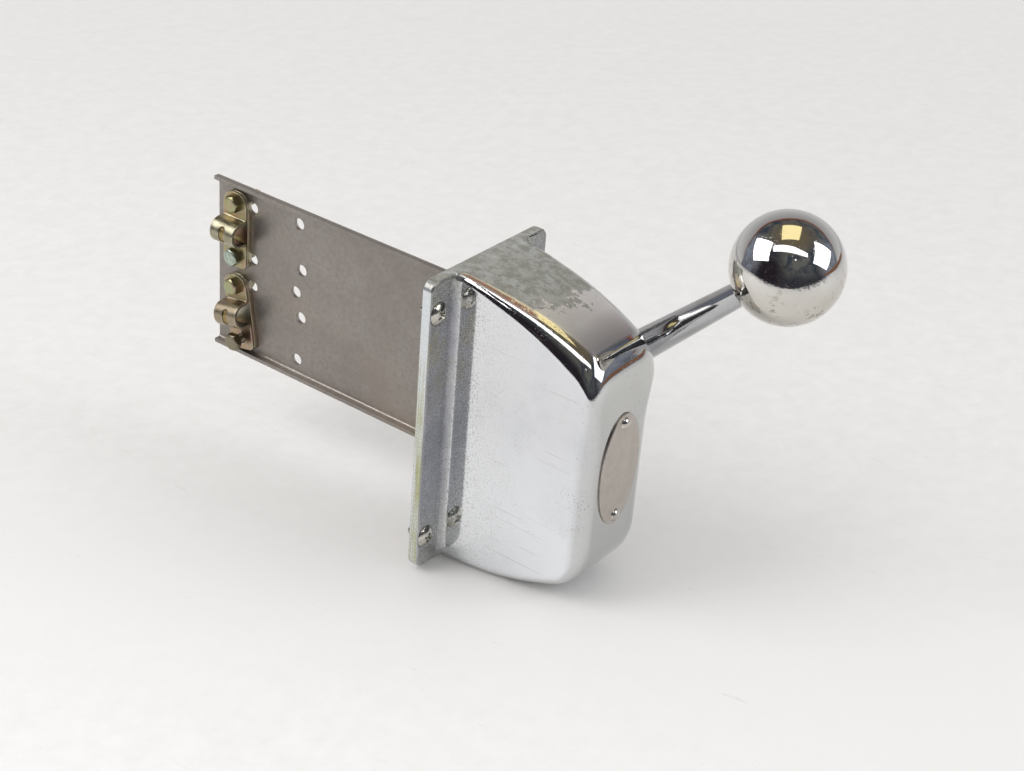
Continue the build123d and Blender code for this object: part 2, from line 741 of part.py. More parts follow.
# ---- every piece, by the name of its file ----
pieces = {
    "housing": housing,
    "panel_screws": panel_screws,
    "nameplate": nameplate,
    "nameplate_rivets": nameplate_rivets,
    "back_plate": back_plate,
    "chassis_screws": chassis_screws,
    "stop_pins": stop_pins,
    "upper_clamp_strip": clamp_strip(upper_frame),
    "upper_clamp_saddle": clamp_saddle(upper_frame),
    "lower_clamp_strip": clamp_strip(lower_frame),
    "lower_clamp_saddle": clamp_saddle(lower_frame),
    "clamp_screws": clamp_screws,
    "clamp_washers": clamp_washers,
    "clamp_nuts": clamp_nuts,
    "wall_bush": wall_bush,
    "inner_bush": inner_bush,
    "brake_disc": brake_disc,
    "lever_arm": lever_arm,
    "hub_set_screw": hub_set_screw,
    "ball_knob": ball_knob,
    "lever_shaft": lever_shaft,
    "drive_arm": drive_arm,
    "drive_pin": drive_pin,
    "disc_springs": disc_springs,
    "brake_nut": brake_nut,
    "split_pin": split_pin,
    "upper_cable_swivel": swivel(upper_radius, 1, upper_frame),
    "upper_swivel_clip": swivel_clip(upper_radius, 1),
    "lower_cable_swivel": swivel(lower_radius, -1, lower_frame),
    "lower_swivel_clip": swivel_clip(lower_radius, -1),
}

os.makedirs("parts", exist_ok=True)
for name, piece in pieces.items():
    piece.part.label = name
    export_step(piece.part, f"parts/{name}.step")
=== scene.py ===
# %% [markdown]
# # Dressing a boat throttle control
#
# The control is a chromed housing on a flange, with a ball-knobbed lever at its side and a bare
# steel plate behind it that carries two cable clamps. Its pieces come ready made, at their real
# size, in one frame: X points out of the panel, Y to the lever's side, Z up, in metres. This
# lesson gives each piece its finish, and rebuilds those whose edges catch the light.

# %% Load the frame
import json
import math

import bmesh
import bpy
from mathutils import Matrix, Vector

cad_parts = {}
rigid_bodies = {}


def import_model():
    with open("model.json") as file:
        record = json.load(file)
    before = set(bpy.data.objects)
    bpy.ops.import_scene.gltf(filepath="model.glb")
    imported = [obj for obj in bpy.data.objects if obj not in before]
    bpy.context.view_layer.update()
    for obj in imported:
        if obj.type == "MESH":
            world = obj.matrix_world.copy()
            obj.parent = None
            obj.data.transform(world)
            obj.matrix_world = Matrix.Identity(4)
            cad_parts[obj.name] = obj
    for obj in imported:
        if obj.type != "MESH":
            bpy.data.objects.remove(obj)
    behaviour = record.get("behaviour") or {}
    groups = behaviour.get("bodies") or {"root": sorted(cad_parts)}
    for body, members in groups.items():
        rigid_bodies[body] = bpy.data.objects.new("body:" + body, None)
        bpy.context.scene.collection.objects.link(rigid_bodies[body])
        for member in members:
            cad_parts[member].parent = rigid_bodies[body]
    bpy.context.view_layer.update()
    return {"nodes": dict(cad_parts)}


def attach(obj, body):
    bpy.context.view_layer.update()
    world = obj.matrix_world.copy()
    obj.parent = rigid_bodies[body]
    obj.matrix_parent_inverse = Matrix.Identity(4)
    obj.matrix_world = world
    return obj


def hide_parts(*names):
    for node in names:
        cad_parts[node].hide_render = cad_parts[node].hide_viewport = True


bpy.ops.object.select_all(action="SELECT")
bpy.ops.object.delete()
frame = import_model()
mm = 0.001
nodes = frame["nodes"]

# %% [markdown]
# ## The camera
#
# A camera is a place and three directions. These directions point to its right, up, and back
# away from what it sees, so they are the columns of its turning matrix. A long lens of about
# 68 mm keeps the housing's upright edges nearly parallel, as a product photographer would.

# %% Camera
camera = bpy.data.objects.new("camera", bpy.data.cameras.new("camera"))
bpy.context.scene.collection.objects.link(camera)
camera_right = Vector((0.7916, 0.6067, 0.0729))
camera_up = Vector((-0.3553, 0.36, 0.8626))
camera_back = Vector((0.4971, -0.7088, 0.5006))
turned = Matrix((camera_right, camera_up, camera_back)).transposed()
camera.matrix_world = Matrix.Translation((0.4434, -0.6021, 0.4391)) @ turned.to_4x4()
camera.data.sensor_width = 36.0
camera.data.lens = 68.26
camera.data.clip_start = 0.01
bpy.context.scene.camera = camera
print("camera looks along", tuple(round(-a, 3) for a in camera_back))

# %% [markdown]
# ## The table and the light
#
# The control lies on a pale table, tipped a few degrees onto the round underside of its
# housing. Mirror chrome has hardly any colour of its own: what it shows is the room. So the
# room is built first, from glowing panels that stand where a studio has its windows, and from
# a pale backdrop behind the table. Each panel is placed by the directions of its corners.

# %% Table directions
table_tilt = math.radians(5.3)
table_up = Vector((-math.sin(table_tilt), 0.0, math.cos(table_tilt)))
table_east = Vector((math.cos(table_tilt), 0.0, math.sin(table_tilt)))
table_north = Vector((0.0, 1.0, 0.0))
lowest = min(v.co.dot(table_up) for o in nodes.values() for v in o.data.vertices)
view_heading = math.atan2(-camera_back.dot(table_north), -camera_back.dot(table_east))
print("table lies", round(-lowest / mm, 1), "mm under the flange's centre")


def toward(heading, height):
    """The direction at a heading from the line of sight and a height angle, in degrees."""
    turn, rise = view_heading + math.radians(heading), math.radians(height)
    flat = table_east * math.cos(turn) + table_north * math.sin(turn)
    return flat * math.cos(rise) + table_up * math.sin(rise)


# %% Shared mesh and node helpers
def mesh_object(name, points, faces):
    """A new object from points in metres and faces as lists of their numbers."""
    mesh = bpy.data.meshes.new(name)
    mesh.from_pydata([tuple(p) for p in points], [], faces)
    mesh.update()
    made = bpy.data.objects.new(name, mesh)
    bpy.context.scene.collection.objects.link(made)
    return made


class Nodes:
    """Short ways to add and join the nodes of a material or of the world."""

    def __init__(self, tree, place="Object"):
        self.tree = tree
        self.place = self.add("TexCoord").outputs[place]

    def add(self, kind, *values, **settings):
        """A new node: values go into its sockets in turn, settings are its properties."""
        node = self.tree.nodes.new("ShaderNode" + kind)
        for key, setting in settings.items():
            setattr(node, key, setting)
        for socket, value in zip(node.inputs, values):
            self.put(socket, value)
        return node

    def put(self, socket, value):
        """Joins an output to a socket, or sets the socket's own value."""
        if isinstance(value, bpy.types.NodeSocket):
            self.tree.links.new(value, socket)
        elif value is not None:
            socket.default_value = (*value, 1.0) if socket.type == "RGBA" else value

    def math(self, operation, first, second=0.0, clamp=False):
        return self.add("Math", first, second, 0.0, operation=operation, use_clamp=clamp).outputs[0]

    def plus(self, first, second):
        return self.math("ADD", first, second)

    def minus(self, first, second):
        return self.math("SUBTRACT", first, second)

    def times(self, first, second):
        return self.math("MULTIPLY", first, second)

    def larger(self, first, second):
        return self.math("MAXIMUM", first, second)

    def unsigned(self, value):
        return self.math("ABSOLUTE", value)

    def ramp(self, value, low, high, start=0.0, end=1.0):
        """Turns value, from low to high, into start to end, and holds it there."""
        return self.add("MapRange", value, low, high, start, end, clamp=True).outputs["Result"]

    def noise(self, scale, detail=4.0, roughness=0.5, distortion=0.0, place=None):
        """Cloudy noise, with a scale in lumps per metre."""
        node = self.add("TexNoise", place or self.place, None, scale, detail, roughness)
        self.put(node.inputs["Distortion"], distortion)
        return node.outputs["Fac"]

    def clouds(self, scale, detail, roughness, low, high, start=0.0, end=1.0, **more):
        """Cloudy noise that is start where it is low and end where it is high."""
        return self.ramp(self.noise(scale, detail, roughness, **more), low, high, start, end)

    def blend(self, share, first, second):
        """A colour that goes from first to second as share goes from 0 to 1."""
        node = self.add("Mix", share, data_type="RGBA")
        self.put(node.inputs[6], first)
        self.put(node.inputs[7], second)
        return node.outputs[2]

    def layers(self, colour, *coats):
        """Lays coats over a colour, each one a share and the coat's own colour."""
        for share, coat in coats:
            colour = self.blend(share, colour, coat)
        return colour

    def axes(self, place=None):
        """The X, Y and Z of a place."""
        return self.add("SeparateXYZ", place or self.place).outputs

    def attribute(self, name):
        """A number that a mesh keeps on each of its points."""
        return self.add("Attribute", attribute_name=name).outputs["Fac"]

    def moved(self, by=(0.0, 0.0, 0.0), turn=(0.0, 0.0, 0.0), scale=(1.0, 1.0, 1.0)):
        """The place, moved, turned and stretched."""
        return self.add("Mapping", self.place, by, turn, scale).outputs["Vector"]

    def scratches(self, along, across, turn, low, high):
        """Thin streaks: noise stretched along one direction, kept only at its peaks."""
        place = self.moved(turn=turn, scale=(along, across, across))
        return self.clouds(1.0, 3.0, 0.6, low, high, place=place)

    def bump(self, height, depth, below=None):
        """Dents and lumps of a depth in metres, on top of those below."""
        node = self.add("Bump")
        for socket, value in (("Strength", 1.0), ("Distance", depth), ("Height", height),
                              ("Normal", below)):
            self.put(node.inputs[socket], value)
        return node.outputs["Normal"]

    def mix_shaders(self, share, first, second):
        """A shader that goes from first to second as share goes from 0 to 1."""
        return self.add("MixShader", share, first, second).outputs[0]


class Finish(Nodes):
    """A material being put together on its Principled shader."""

    def __init__(self, name, colour=(0.8, 0.8, 0.8), metallic=0.0, roughness=0.5):
        self.material = bpy.data.materials.new(name)
        self.material.use_nodes = True
        super().__init__(self.material.node_tree)
        self.shader = self.tree.nodes["Principled BSDF"]
        self.wear("Base Color", colour)
        self.wear("Metallic", metallic)
        self.wear("Roughness", roughness)

    def wear(self, socket, value):
        """Joins or gives value to the shader's socket of that name."""
        self.put(self.shader.inputs[socket], value)

    def show(self, shader):
        """Makes another shader, such as a mix, the one that shows."""
        self.put(self.tree.nodes["Material Output"].inputs["Surface"], shader)


print("helpers ready")

# %% [markdown]
# The panels glow in mirrors and light the scene, but the camera never sees them. The window
# lamps are bright. The ceiling lamp is warm and weak. The backdrop glows only in mirrors, so
# it adds nothing to the light on the control.


# %% Glowing panels
knob_centre = Vector((126.0, 36.0, 96.9)) * mm


def glowing_panel(name, upper, lower, colour, strength, distance):
    """A glowing strip between two rows of headings and heights, seen from the knob."""
    points = [knob_centre + toward(heading, height) * distance for heading, height in upper + lower]
    n = len(upper)
    panel = mesh_object(name, points, [[i, i + 1, n + i + 1, n + i] for i in range(n - 1)])
    f = Finish(name)
    f.show(f.add("Emission", colour, strength).outputs[0])
    panel.data.materials.append(f.material)
    hide_panel(panel, lights=name.endswith("window"))


def hide_panel(panel, lights=False):
    """Keeps a panel out of the camera's sight, and says whether it lights the scene."""
    panel.visible_camera = False
    panel.visible_diffuse = lights
    panel.visible_shadow = False


# each panel's upper and lower corners, colour, strength and distance in metres
panels = {
    "left_window": ([(62, 37), (106, 59)], [(96, 16), (127, 28)], (1.0, 0.98, 0.97), 4.0, 2.0),
    "right_window": ([(-93, 50), (-133, 25)], [(-81, 19), (-109, 4.5)],
                     (0.97, 0.98, 1.0), 3.0, 2.0),
    "ceiling_lamp": ([(16, 64), (-42, 61)], [(120, 73), (-128, 72)], (1.0, 0.84, 0.42), 1.4, 2.1),
    "lamp_bar": ([(116, 56), (142, 65), (-175, 65), (-150, 55), (-136, 44)],
                 [(127, 47), (152, 53), (-178, 52), (-157, 46), (-141, 38)],
                 (1.0, 1.0, 1.0), 2.5, 1.9),
    "spot": ([(-172.5, 39.6), (-169.5, 39.6)], [(-172.5, 37.2), (-169.5, 37.2)],
             (1.0, 0.9, 0.92), 2.5, 1.9),
    "board": ([(-118, 0), (-95, 1), (-75, 1), (-55, 0)],
              [(-118, -2), (-95, -4), (-75, -4), (-55, -3)],
              (0.24, 0.12, 0.07), 1.0, 1.1),
}
for name, settings in panels.items():
    glowing_panel(name, *settings)
print("panels:", list(panels))


# %% Backdrop
wall_top = [(-75, 8), (-68, 20), (-62, 28), (-50, 35), (-38, 40), (-28, 44), (-16, 48), (-3, 50),
            (11, 48), (23, 43.5), (36, 39), (46, 36), (55, 29), (62, 20), (70, 8)]
wall_distance = 1.9
rows = 14
points, faces = [], []
for row in range(rows + 1):
    for heading, height in wall_top:
        points.append(knob_centre + toward(heading, -3 + (height + 3) * row / rows) * wall_distance)
columns = len(wall_top)
for row in range(rows):
    for i in range(columns - 1):
        faces.append([row * columns + i, row * columns + i + 1, (row + 1) * columns + i + 1,
                      (row + 1) * columns + i])
backdrop = mesh_object("backdrop", points, faces)
shades = backdrop.data.attributes.new("rise", "FLOAT", "POINT")
for row in range(rows + 1):
    for i in range(columns):
        shades.data[row * columns + i].value = row / rows
f = Finish("backdrop")
rise = f.attribute("rise")
uneven = f.plus(rise, f.clouds(2.5, 5.0, 0.6, 0.3, 0.7, -0.02, 0.02))
wall_colour = f.layers(
    (0.62, 0.61, 0.6),
    (f.ramp(rise, 0.15, 0.97), (0.33, 0.315, 0.31)),
    (f.ramp(uneven, 0.885, 0.94), (0.27, 0.085, 0.045)),
    (f.ramp(uneven, 0.955, 0.995), (0.1, 0.035, 0.025)))
f.show(f.add("Emission", wall_colour).outputs[0])
backdrop.data.materials.append(f.material)
hide_panel(backdrop)
print("backdrop:", len(faces), "faces")

# %% World
world = bpy.data.worlds.new("room")
bpy.context.scene.world = world
world.use_nodes = True
world.node_tree.nodes.clear()
room = Nodes(world.node_tree, "Generated")
pale = (0.815, 0.805, 0.79)


def room_light(colour, strength):
    """One plain light of the room."""
    return room.add("Background", colour, strength).outputs[0]


def glow_about(heading, height, near, far):
    """The glow on the walls about a lamp, from 0 at near to 1 at far, as cosines."""
    node = room.add("VectorMath", room.place, toward(heading, height), operation="DOT_PRODUCT")
    return room.ramp(node.outputs["Value"], near, far)


# what the mirrors see where there is no lamp: dim walls, a brown ceiling, small things low down
high = room.axes()[2]
clutter = room.times(room.ramp(high, 0.45, 0.1), room.clouds(11, 7, 0.75, 0.57, 0.66))
sheen = room.larger(glow_about(78, 14, 0.8, 0.97), glow_about(-88, 8, 0.8, 0.97))
walls = room.layers(
    (0.045, 0.055, 0.075),
    (room.clouds(2.6, 6.0, 0.62, 0.4, 0.58, distortion=0.6), (0.145, 0.145, 0.13)),
    (room.ramp(high, 0.72, 0.95), (0.16, 0.13, 0.085)),
    (room.ramp(high, 0.4, 0.02, 0.0, 0.85), (0.026, 0.029, 0.044)),
    (glow_about(132, 14, 0.76, 0.97), (0.02, 0.017, 0.022)),
    (clutter, (0.22, 0.13, 0.095)),
    (room.times(sheen, room.clouds(7, 5, 0.7, 0.33, 0.6, 0.25, 1.0)), (0.27, 0.29, 0.34)))
rays = room.add("LightPath").outputs
seen = room.mix_shaders(rays["Is Glossy Ray"], room_light((1.0, 1.0, 1.0), 0.7),
                        room_light(walls, 1.0))
seen = room.mix_shaders(rays["Is Camera Ray"], seen, room_light(pale, 1.0))
room.put(room.add("OutputWorld").inputs["Surface"], seen)
bpy.context.scene.view_settings.view_transform = "Standard"
print("world:", len(room.tree.nodes), "nodes")

# %% Table
table_reach = 2.4
ring_points = 96
table_points = [toward(360.0 * i / ring_points, 0.0) * table_reach + table_up * lowest
                for i in range(ring_points)]
table = mesh_object("table", table_points, [list(range(ring_points))])
f = Finish("tabletop", pale, 0.0, 0.65)
east, north, _ = f.axes()
view_flat = toward(0, 0)
away = f.plus(f.times(east, view_flat.x), f.times(north, view_flat.y))
aside = f.plus(f.times(east, -view_flat.y), f.times(north, view_flat.x))
# painted light: the part of the table towards the camera is painted brighter, a pool of light
painted_light_pool = f.times(f.ramp(away, 0.1, -0.22), f.ramp(aside, -0.2, 0.05, 0.55, 1.0))
# painted shade: the table is painted darker far out to either side and far behind the camera
painted_far_shade = f.larger(f.ramp(f.unsigned(aside), 0.6, 1.3), f.ramp(away, -0.34, -0.9))
hairs = f.larger(f.scratches(3.0, 420.0, (0.0, 0.0, 0.9), 0.71, 0.75),
                 f.scratches(4.0, 520.0, (0.0, 0.0, -0.4), 0.71, 0.75))
specks = f.times(f.clouds(700.0, 2.0, 0.5, 0.7, 0.76), f.clouds(25.0, 3.0, 0.6, 0.5, 0.6))
f.wear("Base Color", f.layers(
    (0.8, 0.79, 0.775),
    (painted_light_pool, (0.93, 0.93, 0.93)),
    (f.clouds(90.0, 6.0, 0.7, 0.35, 0.75), (0.86, 0.85, 0.84)),
    (painted_far_shade, (0.66, 0.655, 0.645)),
    (f.times(f.larger(hairs, specks), 0.2), (0.45, 0.4, 0.34))))
table.data.materials.append(f.material)

# the mirrors see the table end behind the camera, with what lies along its edge
spread = f.ramp(f.unsigned(aside), 0.1, 0.7, 0.45, 3.5)
ragged = f.times(spread, f.minus(f.noise(13.0, 8.0, 0.8), 0.5))
beyond = f.math("GREATER_THAN", f.minus(-0.57, away), ragged)
mirrored = f.add("LightPath").outputs["Is Glossy Ray"]
clear = f.add("BsdfTransparent").outputs[0]
reach = f.math("SQRT", f.plus(f.math("POWER", away, 2.0), f.math("POWER", aside, 2.0)))
seen_directly = f.add("LightPath").outputs["Is Camera Ray"]
faded = f.times(f.ramp(reach, 0.6, 1.6), seen_directly)
gone = f.larger(faded, f.times(beyond, mirrored))
f.show(f.mix_shaders(gone, f.shader.outputs[0], clear))
print("table is", round(2 * table_reach, 1), "m across")

# %% [markdown]
# ## The housing
#
# The housing is a hollow casting with soft edges, and a mirror skin shows each of them as a
# line of light. A block with a bevel could not have edges that grow rounder from the flange
# to the nose, so the skin is lofted: a stack of closed outlines along X, all with the same
# number of points, joined point to point.

# %% Housing sizes
flange_t, flange_half_w, flange_half_h, flange_corner = 5.2 * mm, 40 * mm, 72 * mm, 5 * mm
depth, wall = 80 * mm, 2.8 * mm
body_half_w = 24 * mm
brow_radius, nose_z = 148 * mm, 50.5 * mm
belly_radius, chin_z = 125 * mm, 54 * mm
flare = 4 * mm
crown = 1.6 * mm
corner_steps, edge_steps, side_steps = 12, 14, 12


def arc_height(x, radius, front_z, inset=0.0):
    """Height at x of the arc from the flange's edge to the nose."""
    run, drop = depth - flange_t, flange_half_h - front_z
    chord = math.hypot(run, drop)
    rise = math.sqrt(radius ** 2 - chord ** 2 / 4)
    centre_x = (flange_t + depth) / 2 - drop / chord * rise
    centre_z = (flange_half_h + front_z) / 2 - run / chord * rise
    return centre_z + math.sqrt((radius - inset) ** 2 - (x - centre_x) ** 2)


def eased(share):
    """A share held between 0 and 1, that starts and ends gently."""
    share = min(max(share, 0.0), 1.0)
    return share * share * (3 - 2 * share)


def quarter(step, steps, start=0.0):
    """The cosine and sine of one step of a quarter turn, which starts at an angle in degrees."""
    angle = math.radians(start + 90.0 * step / steps)
    return math.cos(angle), math.sin(angle)


def drawn_in(radius, distance):
    """How far a rounded edge has drawn in, at a distance behind its front."""
    if distance >= radius:
        return 0.0
    return radius - math.sqrt(radius ** 2 - (radius - distance) ** 2)


print("brow and belly reach", round(arc_height(flange_t, brow_radius, nose_z) / mm, 2),
      round(-max(arc_height(x * mm, belly_radius, chin_z) for x in range(6, 80)) / mm, 2))


# %% Outlines
def outline(x, half_w, top, bottom, top_corner, bottom_corner):
    """A closed outline at x: a rectangle with round corners, from the top right round."""
    arcs = []
    for number, (side, up) in enumerate(((1, 1), (1, -1), (-1, -1), (-1, 1))):
        radius = top_corner if up > 0 else bottom_corner
        centre_y = side * (half_w - radius)
        centre_z = top - radius if up > 0 else bottom + radius
        angles = [math.radians(90.0 - 90.0 * (number + i / corner_steps))
                  for i in range(corner_steps + 1)]
        arcs.append([(x, centre_y + radius * math.cos(a), centre_z + radius * math.sin(a))
                     for a in angles])
    points = []
    for number, arc in enumerate(arcs):
        start, end = Vector(arc[-1]), Vector(arcs[(number + 1) % 4][0])
        steps = edge_steps if number % 2 else side_steps
        points += [Vector(p) for p in arc]
        points += [start.lerp(end, i / steps) for i in range(1, steps)]
    return points


def body_outline(x, inset=0.0, widened=0.0):
    """The body's outline at x; inset gives the cavity's, widened runs out onto the flange."""
    front = depth - inset
    along = min(max((x - flange_t) / (depth - flange_t), 0.0), 1.0)
    sides = drawn_in(4.5 * mm - inset / 2, front - x)
    lower_sides = drawn_in(9.5 * mm - inset, front - x)
    top = arc_height(x, brow_radius, nose_z, inset) - drawn_in(11 * mm - inset, front - x)
    bottom = -arc_height(x, belly_radius, chin_z, inset) + drawn_in(12 * mm - inset, front - x)
    shrink = 0.6 * sides + inset * 0.4
    points = outline(x, body_half_w - inset - sides + widened, top, bottom,
                     (3.4 + 8.6 * along ** 1.3) * mm - shrink, (5.0 + 4.5 * along) * mm - shrink)
    sag = crown * min(along / 0.3, 1.0)
    flat = body_half_w - inset
    for point in points:
        if point.z > 0:
            point.z -= sag * (point.y / body_half_w) ** 2
        low = eased((42 * mm - point.z) / (30 * mm))
        point.y *= 1.0 - low * (lower_sides - sides) / (flat - sides)
    return points


def flange_outline(x, ear_inset, middle_inset=0.0):
    """The flange's outline at x, its middle point for point over the body's outline."""
    points = body_outline(flange_t, widened=flare)
    start_y = points[0].y
    ear = []
    reach = flange_half_w - flange_corner
    for up in (1, -1):
        straight = [(start_y + (reach - start_y) * i / 4, flange_half_h) for i in range(4)]
        run = []
        for y, z in straight:
            fade = eased((y - start_y) / (4 * mm))
            run.append((y, z - middle_inset - (ear_inset - middle_inset) * fade))
        radius = flange_corner - ear_inset
        for i in range(8, -1, -1):
            across, up_by = quarter(i, 8)
            run.append((reach + radius * across, flange_half_h - flange_corner + radius * up_by))
        run = [(y, up * z) for y, z in run]
        ear.append(run if up > 0 else run[::-1])
    upper, lower = ear
    y, high = upper[-1]
    low = lower[0][1]
    ear = upper + [(y, high + (low - high) * i / 8) for i in range(1, 8)] + lower
    count = len(ear)
    half = len(points) // 2
    for i, (y, z) in enumerate(ear):
        points[i] = Vector((x, y, z))
        points[half + i] = Vector((x, -y, -z))
    for i in list(range(count, half)) + list(range(half + count, 2 * half)):
        side = 1 if points[i].z > 0 else -1
        across = max(-start_y, min(start_y, points[i].y))
        points[i] = Vector((x, across, side * (flange_half_h - middle_inset)))
    return points


print("outline points:", len(body_outline(20 * mm)), len(flange_outline(0.0, 0.0)))


# %% Lofting, turning and carving
def loft(name, rings):
    """A closed skin over rings of points that all have the same count."""
    count = len(rings[0])
    faces = [[r * count + i, r * count + (i + 1) % count, (r + 1) * count + (i + 1) % count,
              (r + 1) * count + i] for r in range(len(rings) - 1) for i in range(count)]
    faces.append(list(range(count))[::-1])
    faces.append([(len(rings) - 1) * count + i for i in range(count)])
    made = mesh_object(name, [p for ring in rings for p in ring], faces)
    mend(made)
    return made


def mend(piece):
    """Merges equal points, drops empty and loose faces, closes pinholes, turns faces outward."""
    shape = bmesh.new()
    shape.from_mesh(piece.data)
    bmesh.ops.remove_doubles(shape, verts=shape.verts, dist=1e-6)
    bmesh.ops.dissolve_degenerate(shape, edges=shape.edges, dist=1e-6)
    loose = [f for f in shape.faces if all(len(e.link_faces) == 1 for e in f.edges)]
    if len(loose) < len(shape.faces):
        bmesh.ops.delete(shape, geom=loose, context="FACES")
    bmesh.ops.holes_fill(shape, edges=[e for e in shape.edges if e.is_boundary], sides=6)
    bmesh.ops.recalc_face_normals(shape, faces=shape.faces)
    shape.to_mesh(piece.data)
    shape.free()


def turned(name, profile, origin=(0, 0, 0), axis=(0, 0, 1), around=64):
    """A turned solid: (radius, height) pairs in mm about an axis from origin, in metres."""
    place = Matrix.Translation(origin) @ Vector(axis).to_track_quat("Z", "Y").to_matrix().to_4x4()
    points = []
    for radius, height in profile:
        for i in range(around):
            angle = 2 * math.pi * i / around
            points.append(place @ Vector((radius * mm * math.cos(angle),
                                          radius * mm * math.sin(angle), height * mm)))
    rings = [points[i:i + around] for i in range(0, len(points), around)]
    return loft(name, rings)


def settle(piece):
    """Makes the shape that a piece's modifiers give it its own mesh."""
    shaped = bpy.data.meshes.new_from_object(
        piece.evaluated_get(bpy.context.evaluated_depsgraph_get()))
    piece.modifiers.clear()
    piece.data = shaped


def carve(piece, tools, operation="DIFFERENCE"):
    """Cuts the tools from a piece, or joins them to it, and uses them up."""
    for tool in tools:
        change = piece.modifiers.new("carve", "BOOLEAN")
        change.object, change.operation, change.solver = tool, operation, "EXACT"
    settle(piece)
    for tool in tools:
        bpy.data.objects.remove(tool)


def smooth(piece, angle=35.0):
    """Smooth shading that keeps sharp edges sharp and flat faces flat."""
    piece.data.shade_smooth()
    shape = bmesh.new()
    shape.from_mesh(piece.data)
    for edge in shape.edges:
        edge.smooth = len(edge.link_faces) == 2 and edge.calc_face_angle() < math.radians(angle)
    shape.to_mesh(piece.data)
    shape.free()
    weigh = piece.modifiers.new("weigh normals", "WEIGHTED_NORMAL")
    weigh.keep_sharp = True
    weigh.weight = 60


def dress(piece, node, finish=None):
    """Lets a piece ride on the control's body, in place of its plain node, in its finish."""
    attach(piece, "control_body")
    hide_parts(node)
    if finish:
        piece.data.materials.append(finish.material)
    print(piece.name, len(piece.data.polygons), "faces")


print("tools ready")

# %% Housing skin
rings = [flange_outline(0.0, 0.5 * mm, 0.5 * mm), flange_outline(0.15 * mm, 0.15 * mm, 0.15 * mm),
         flange_outline(0.5 * mm, 0.0)]
ear_round = 1.1 * mm
for step in range(6):
    out, up = quarter(step, 5)
    rings.append(flange_outline(flange_t - ear_round * (1 - up), ear_round * (1 - out)))
for step in range(8):
    out, up = quarter(step, 7)
    rings.append(body_outline(flange_t + flare * (1 - out), widened=flare * (1 - up)))
nose_round = 12.5 * mm
flare_end, round_start = flange_t + flare, depth - nose_round
rings += [body_outline(flare_end + (round_start - flare_end) * step / 36) for step in range(1, 37)]
rings += [body_outline(depth - nose_round * (1 - quarter(step, 24)[1])) for step in range(1, 25)]
housing = loft("housing_skin", rings)
print("housing skin:", len(housing.data.polygons), "faces")

# %% Housing inside
inside, inner_round, overshoot = depth - wall, 10 * mm, 2 * mm
straight = inside - inner_round + overshoot
rings = [body_outline(straight * step / 24 - overshoot, wall) for step in range(25)]
rings += [body_outline(inside - inner_round * (1 - quarter(step, 12)[1]), wall)
          for step in range(1, 13)]
carve(housing, [loft("cavity", rings)])
pivot_x, plate_far, pad_y, near_boss = 25 * mm, 18.6 * mm, 24.4 * mm, 15.5 * mm
plate_screws = [(x * mm, z * mm) for x in (12, 52) for z in (-35, 35)]
bosses = [turned("boss", [(5.5, 0), (5.5, (body_half_w - wall / 2 - plate_far) / mm)],
                 (x, plate_far, z), (0, 1, 0), 48) for x, z in plate_screws]
bosses.append(turned("pad", [(15, 0), (15, (pad_y - plate_far) / mm)], (pivot_x, plate_far, 0),
                     (0, 1, 0), 96))
bosses.append(turned("near_boss", [(10, 0), (10, (body_half_w - wall / 2 - near_boss) / mm)],
                     (pivot_x, -near_boss, 0), (0, -1, 0), 64))
carve(housing, bosses, "UNION")
print("housing hollow:", len(housing.data.polygons), "faces")

# %% Housing holes
panel_screw_y, panel_screw_z, rivet_heights = 34.6, 56.4, (-26.2, 20.2)
holes = [turned("bush_hole", [(8.52, -0.3), (8.52, 6.2)], (pivot_x, plate_far, 0), (0, 1, 0), 96),
         turned("inner_hole", [(6.07, -0.3), (6.07, 4.6)], (pivot_x, -near_boss, 0), (0, -1, 0))]
holes += [turned("screw_hole", [(2.52, -0.3), (2.52, (body_half_w - plate_far) / mm - 1)],
                 (x, plate_far, z), (0, 1, 0), 32) for x, z in plate_screws]
dished = [(2.42, -1), (2.42, 1.96), (5.05, 4.92), (5.22, 4.92), (5.5, 5.06), (6, 5.16),
          (6.7, 5.205), (6.7, 6)]
holes += [turned("panel_hole", dished, (0, y * panel_screw_y * mm, z * panel_screw_z * mm),
                 (1, 0, 0)) for y in (-1, 1) for z in (-1, 1)]
holes += [turned("rivet_hole", [(1.22, -4), (1.22, 1)], (depth, 0, z * mm), (1, 0, 0), 32)
          for z in rivet_heights]
carve(housing, holes)
mend(housing)
smooth(housing)
dress(housing, "housing")

# %% [markdown]
# ## Chrome
#
# Old marine chrome is a mirror that has lost its youth: fine scratches, pits that gather where
# salt water stands, and a grey bloom. All of it is drawn with noise in the object's own
# coordinates, in metres, so it has a real size and stays on the metal from every side. The
# pits and scratches are both dents, for the light, and dull spots, for the mirror.


# %% Chrome
def chrome(name, colour=(0.7, 0.715, 0.735), roughness=0.045, pits=0.55):
    """Worn chrome; returns the finish, its pits, its hairlines and its bumps."""
    f = Finish(name, colour, 1.0, roughness)
    speck = f.noise(1500, 2, 0.5)
    patch = f.noise(60, 4, 0.6)
    pitted = f.times(f.ramp(speck, 0.62, 0.7), f.ramp(patch, pits, pits + 0.12))
    hair = f.larger(f.scratches(9.0, 1100, (0.0, 0.65, 0.02), 0.69, 0.73),
                    f.scratches(12, 1300, (0.02, -0.8, 0.0), 0.69, 0.73))
    hair = f.larger(hair, f.scratches(25, 1100, (-0.9, 1.1, -0.4), 0.68, 0.72))
    wave = f.noise(28, 1, 0.4)
    bumps = f.bump(wave, 0.00005)
    bumps = f.bump(hair, -0.000003, bumps)
    bumps = f.bump(pitted, -0.00002, bumps)
    return f, pitted, hair, bumps


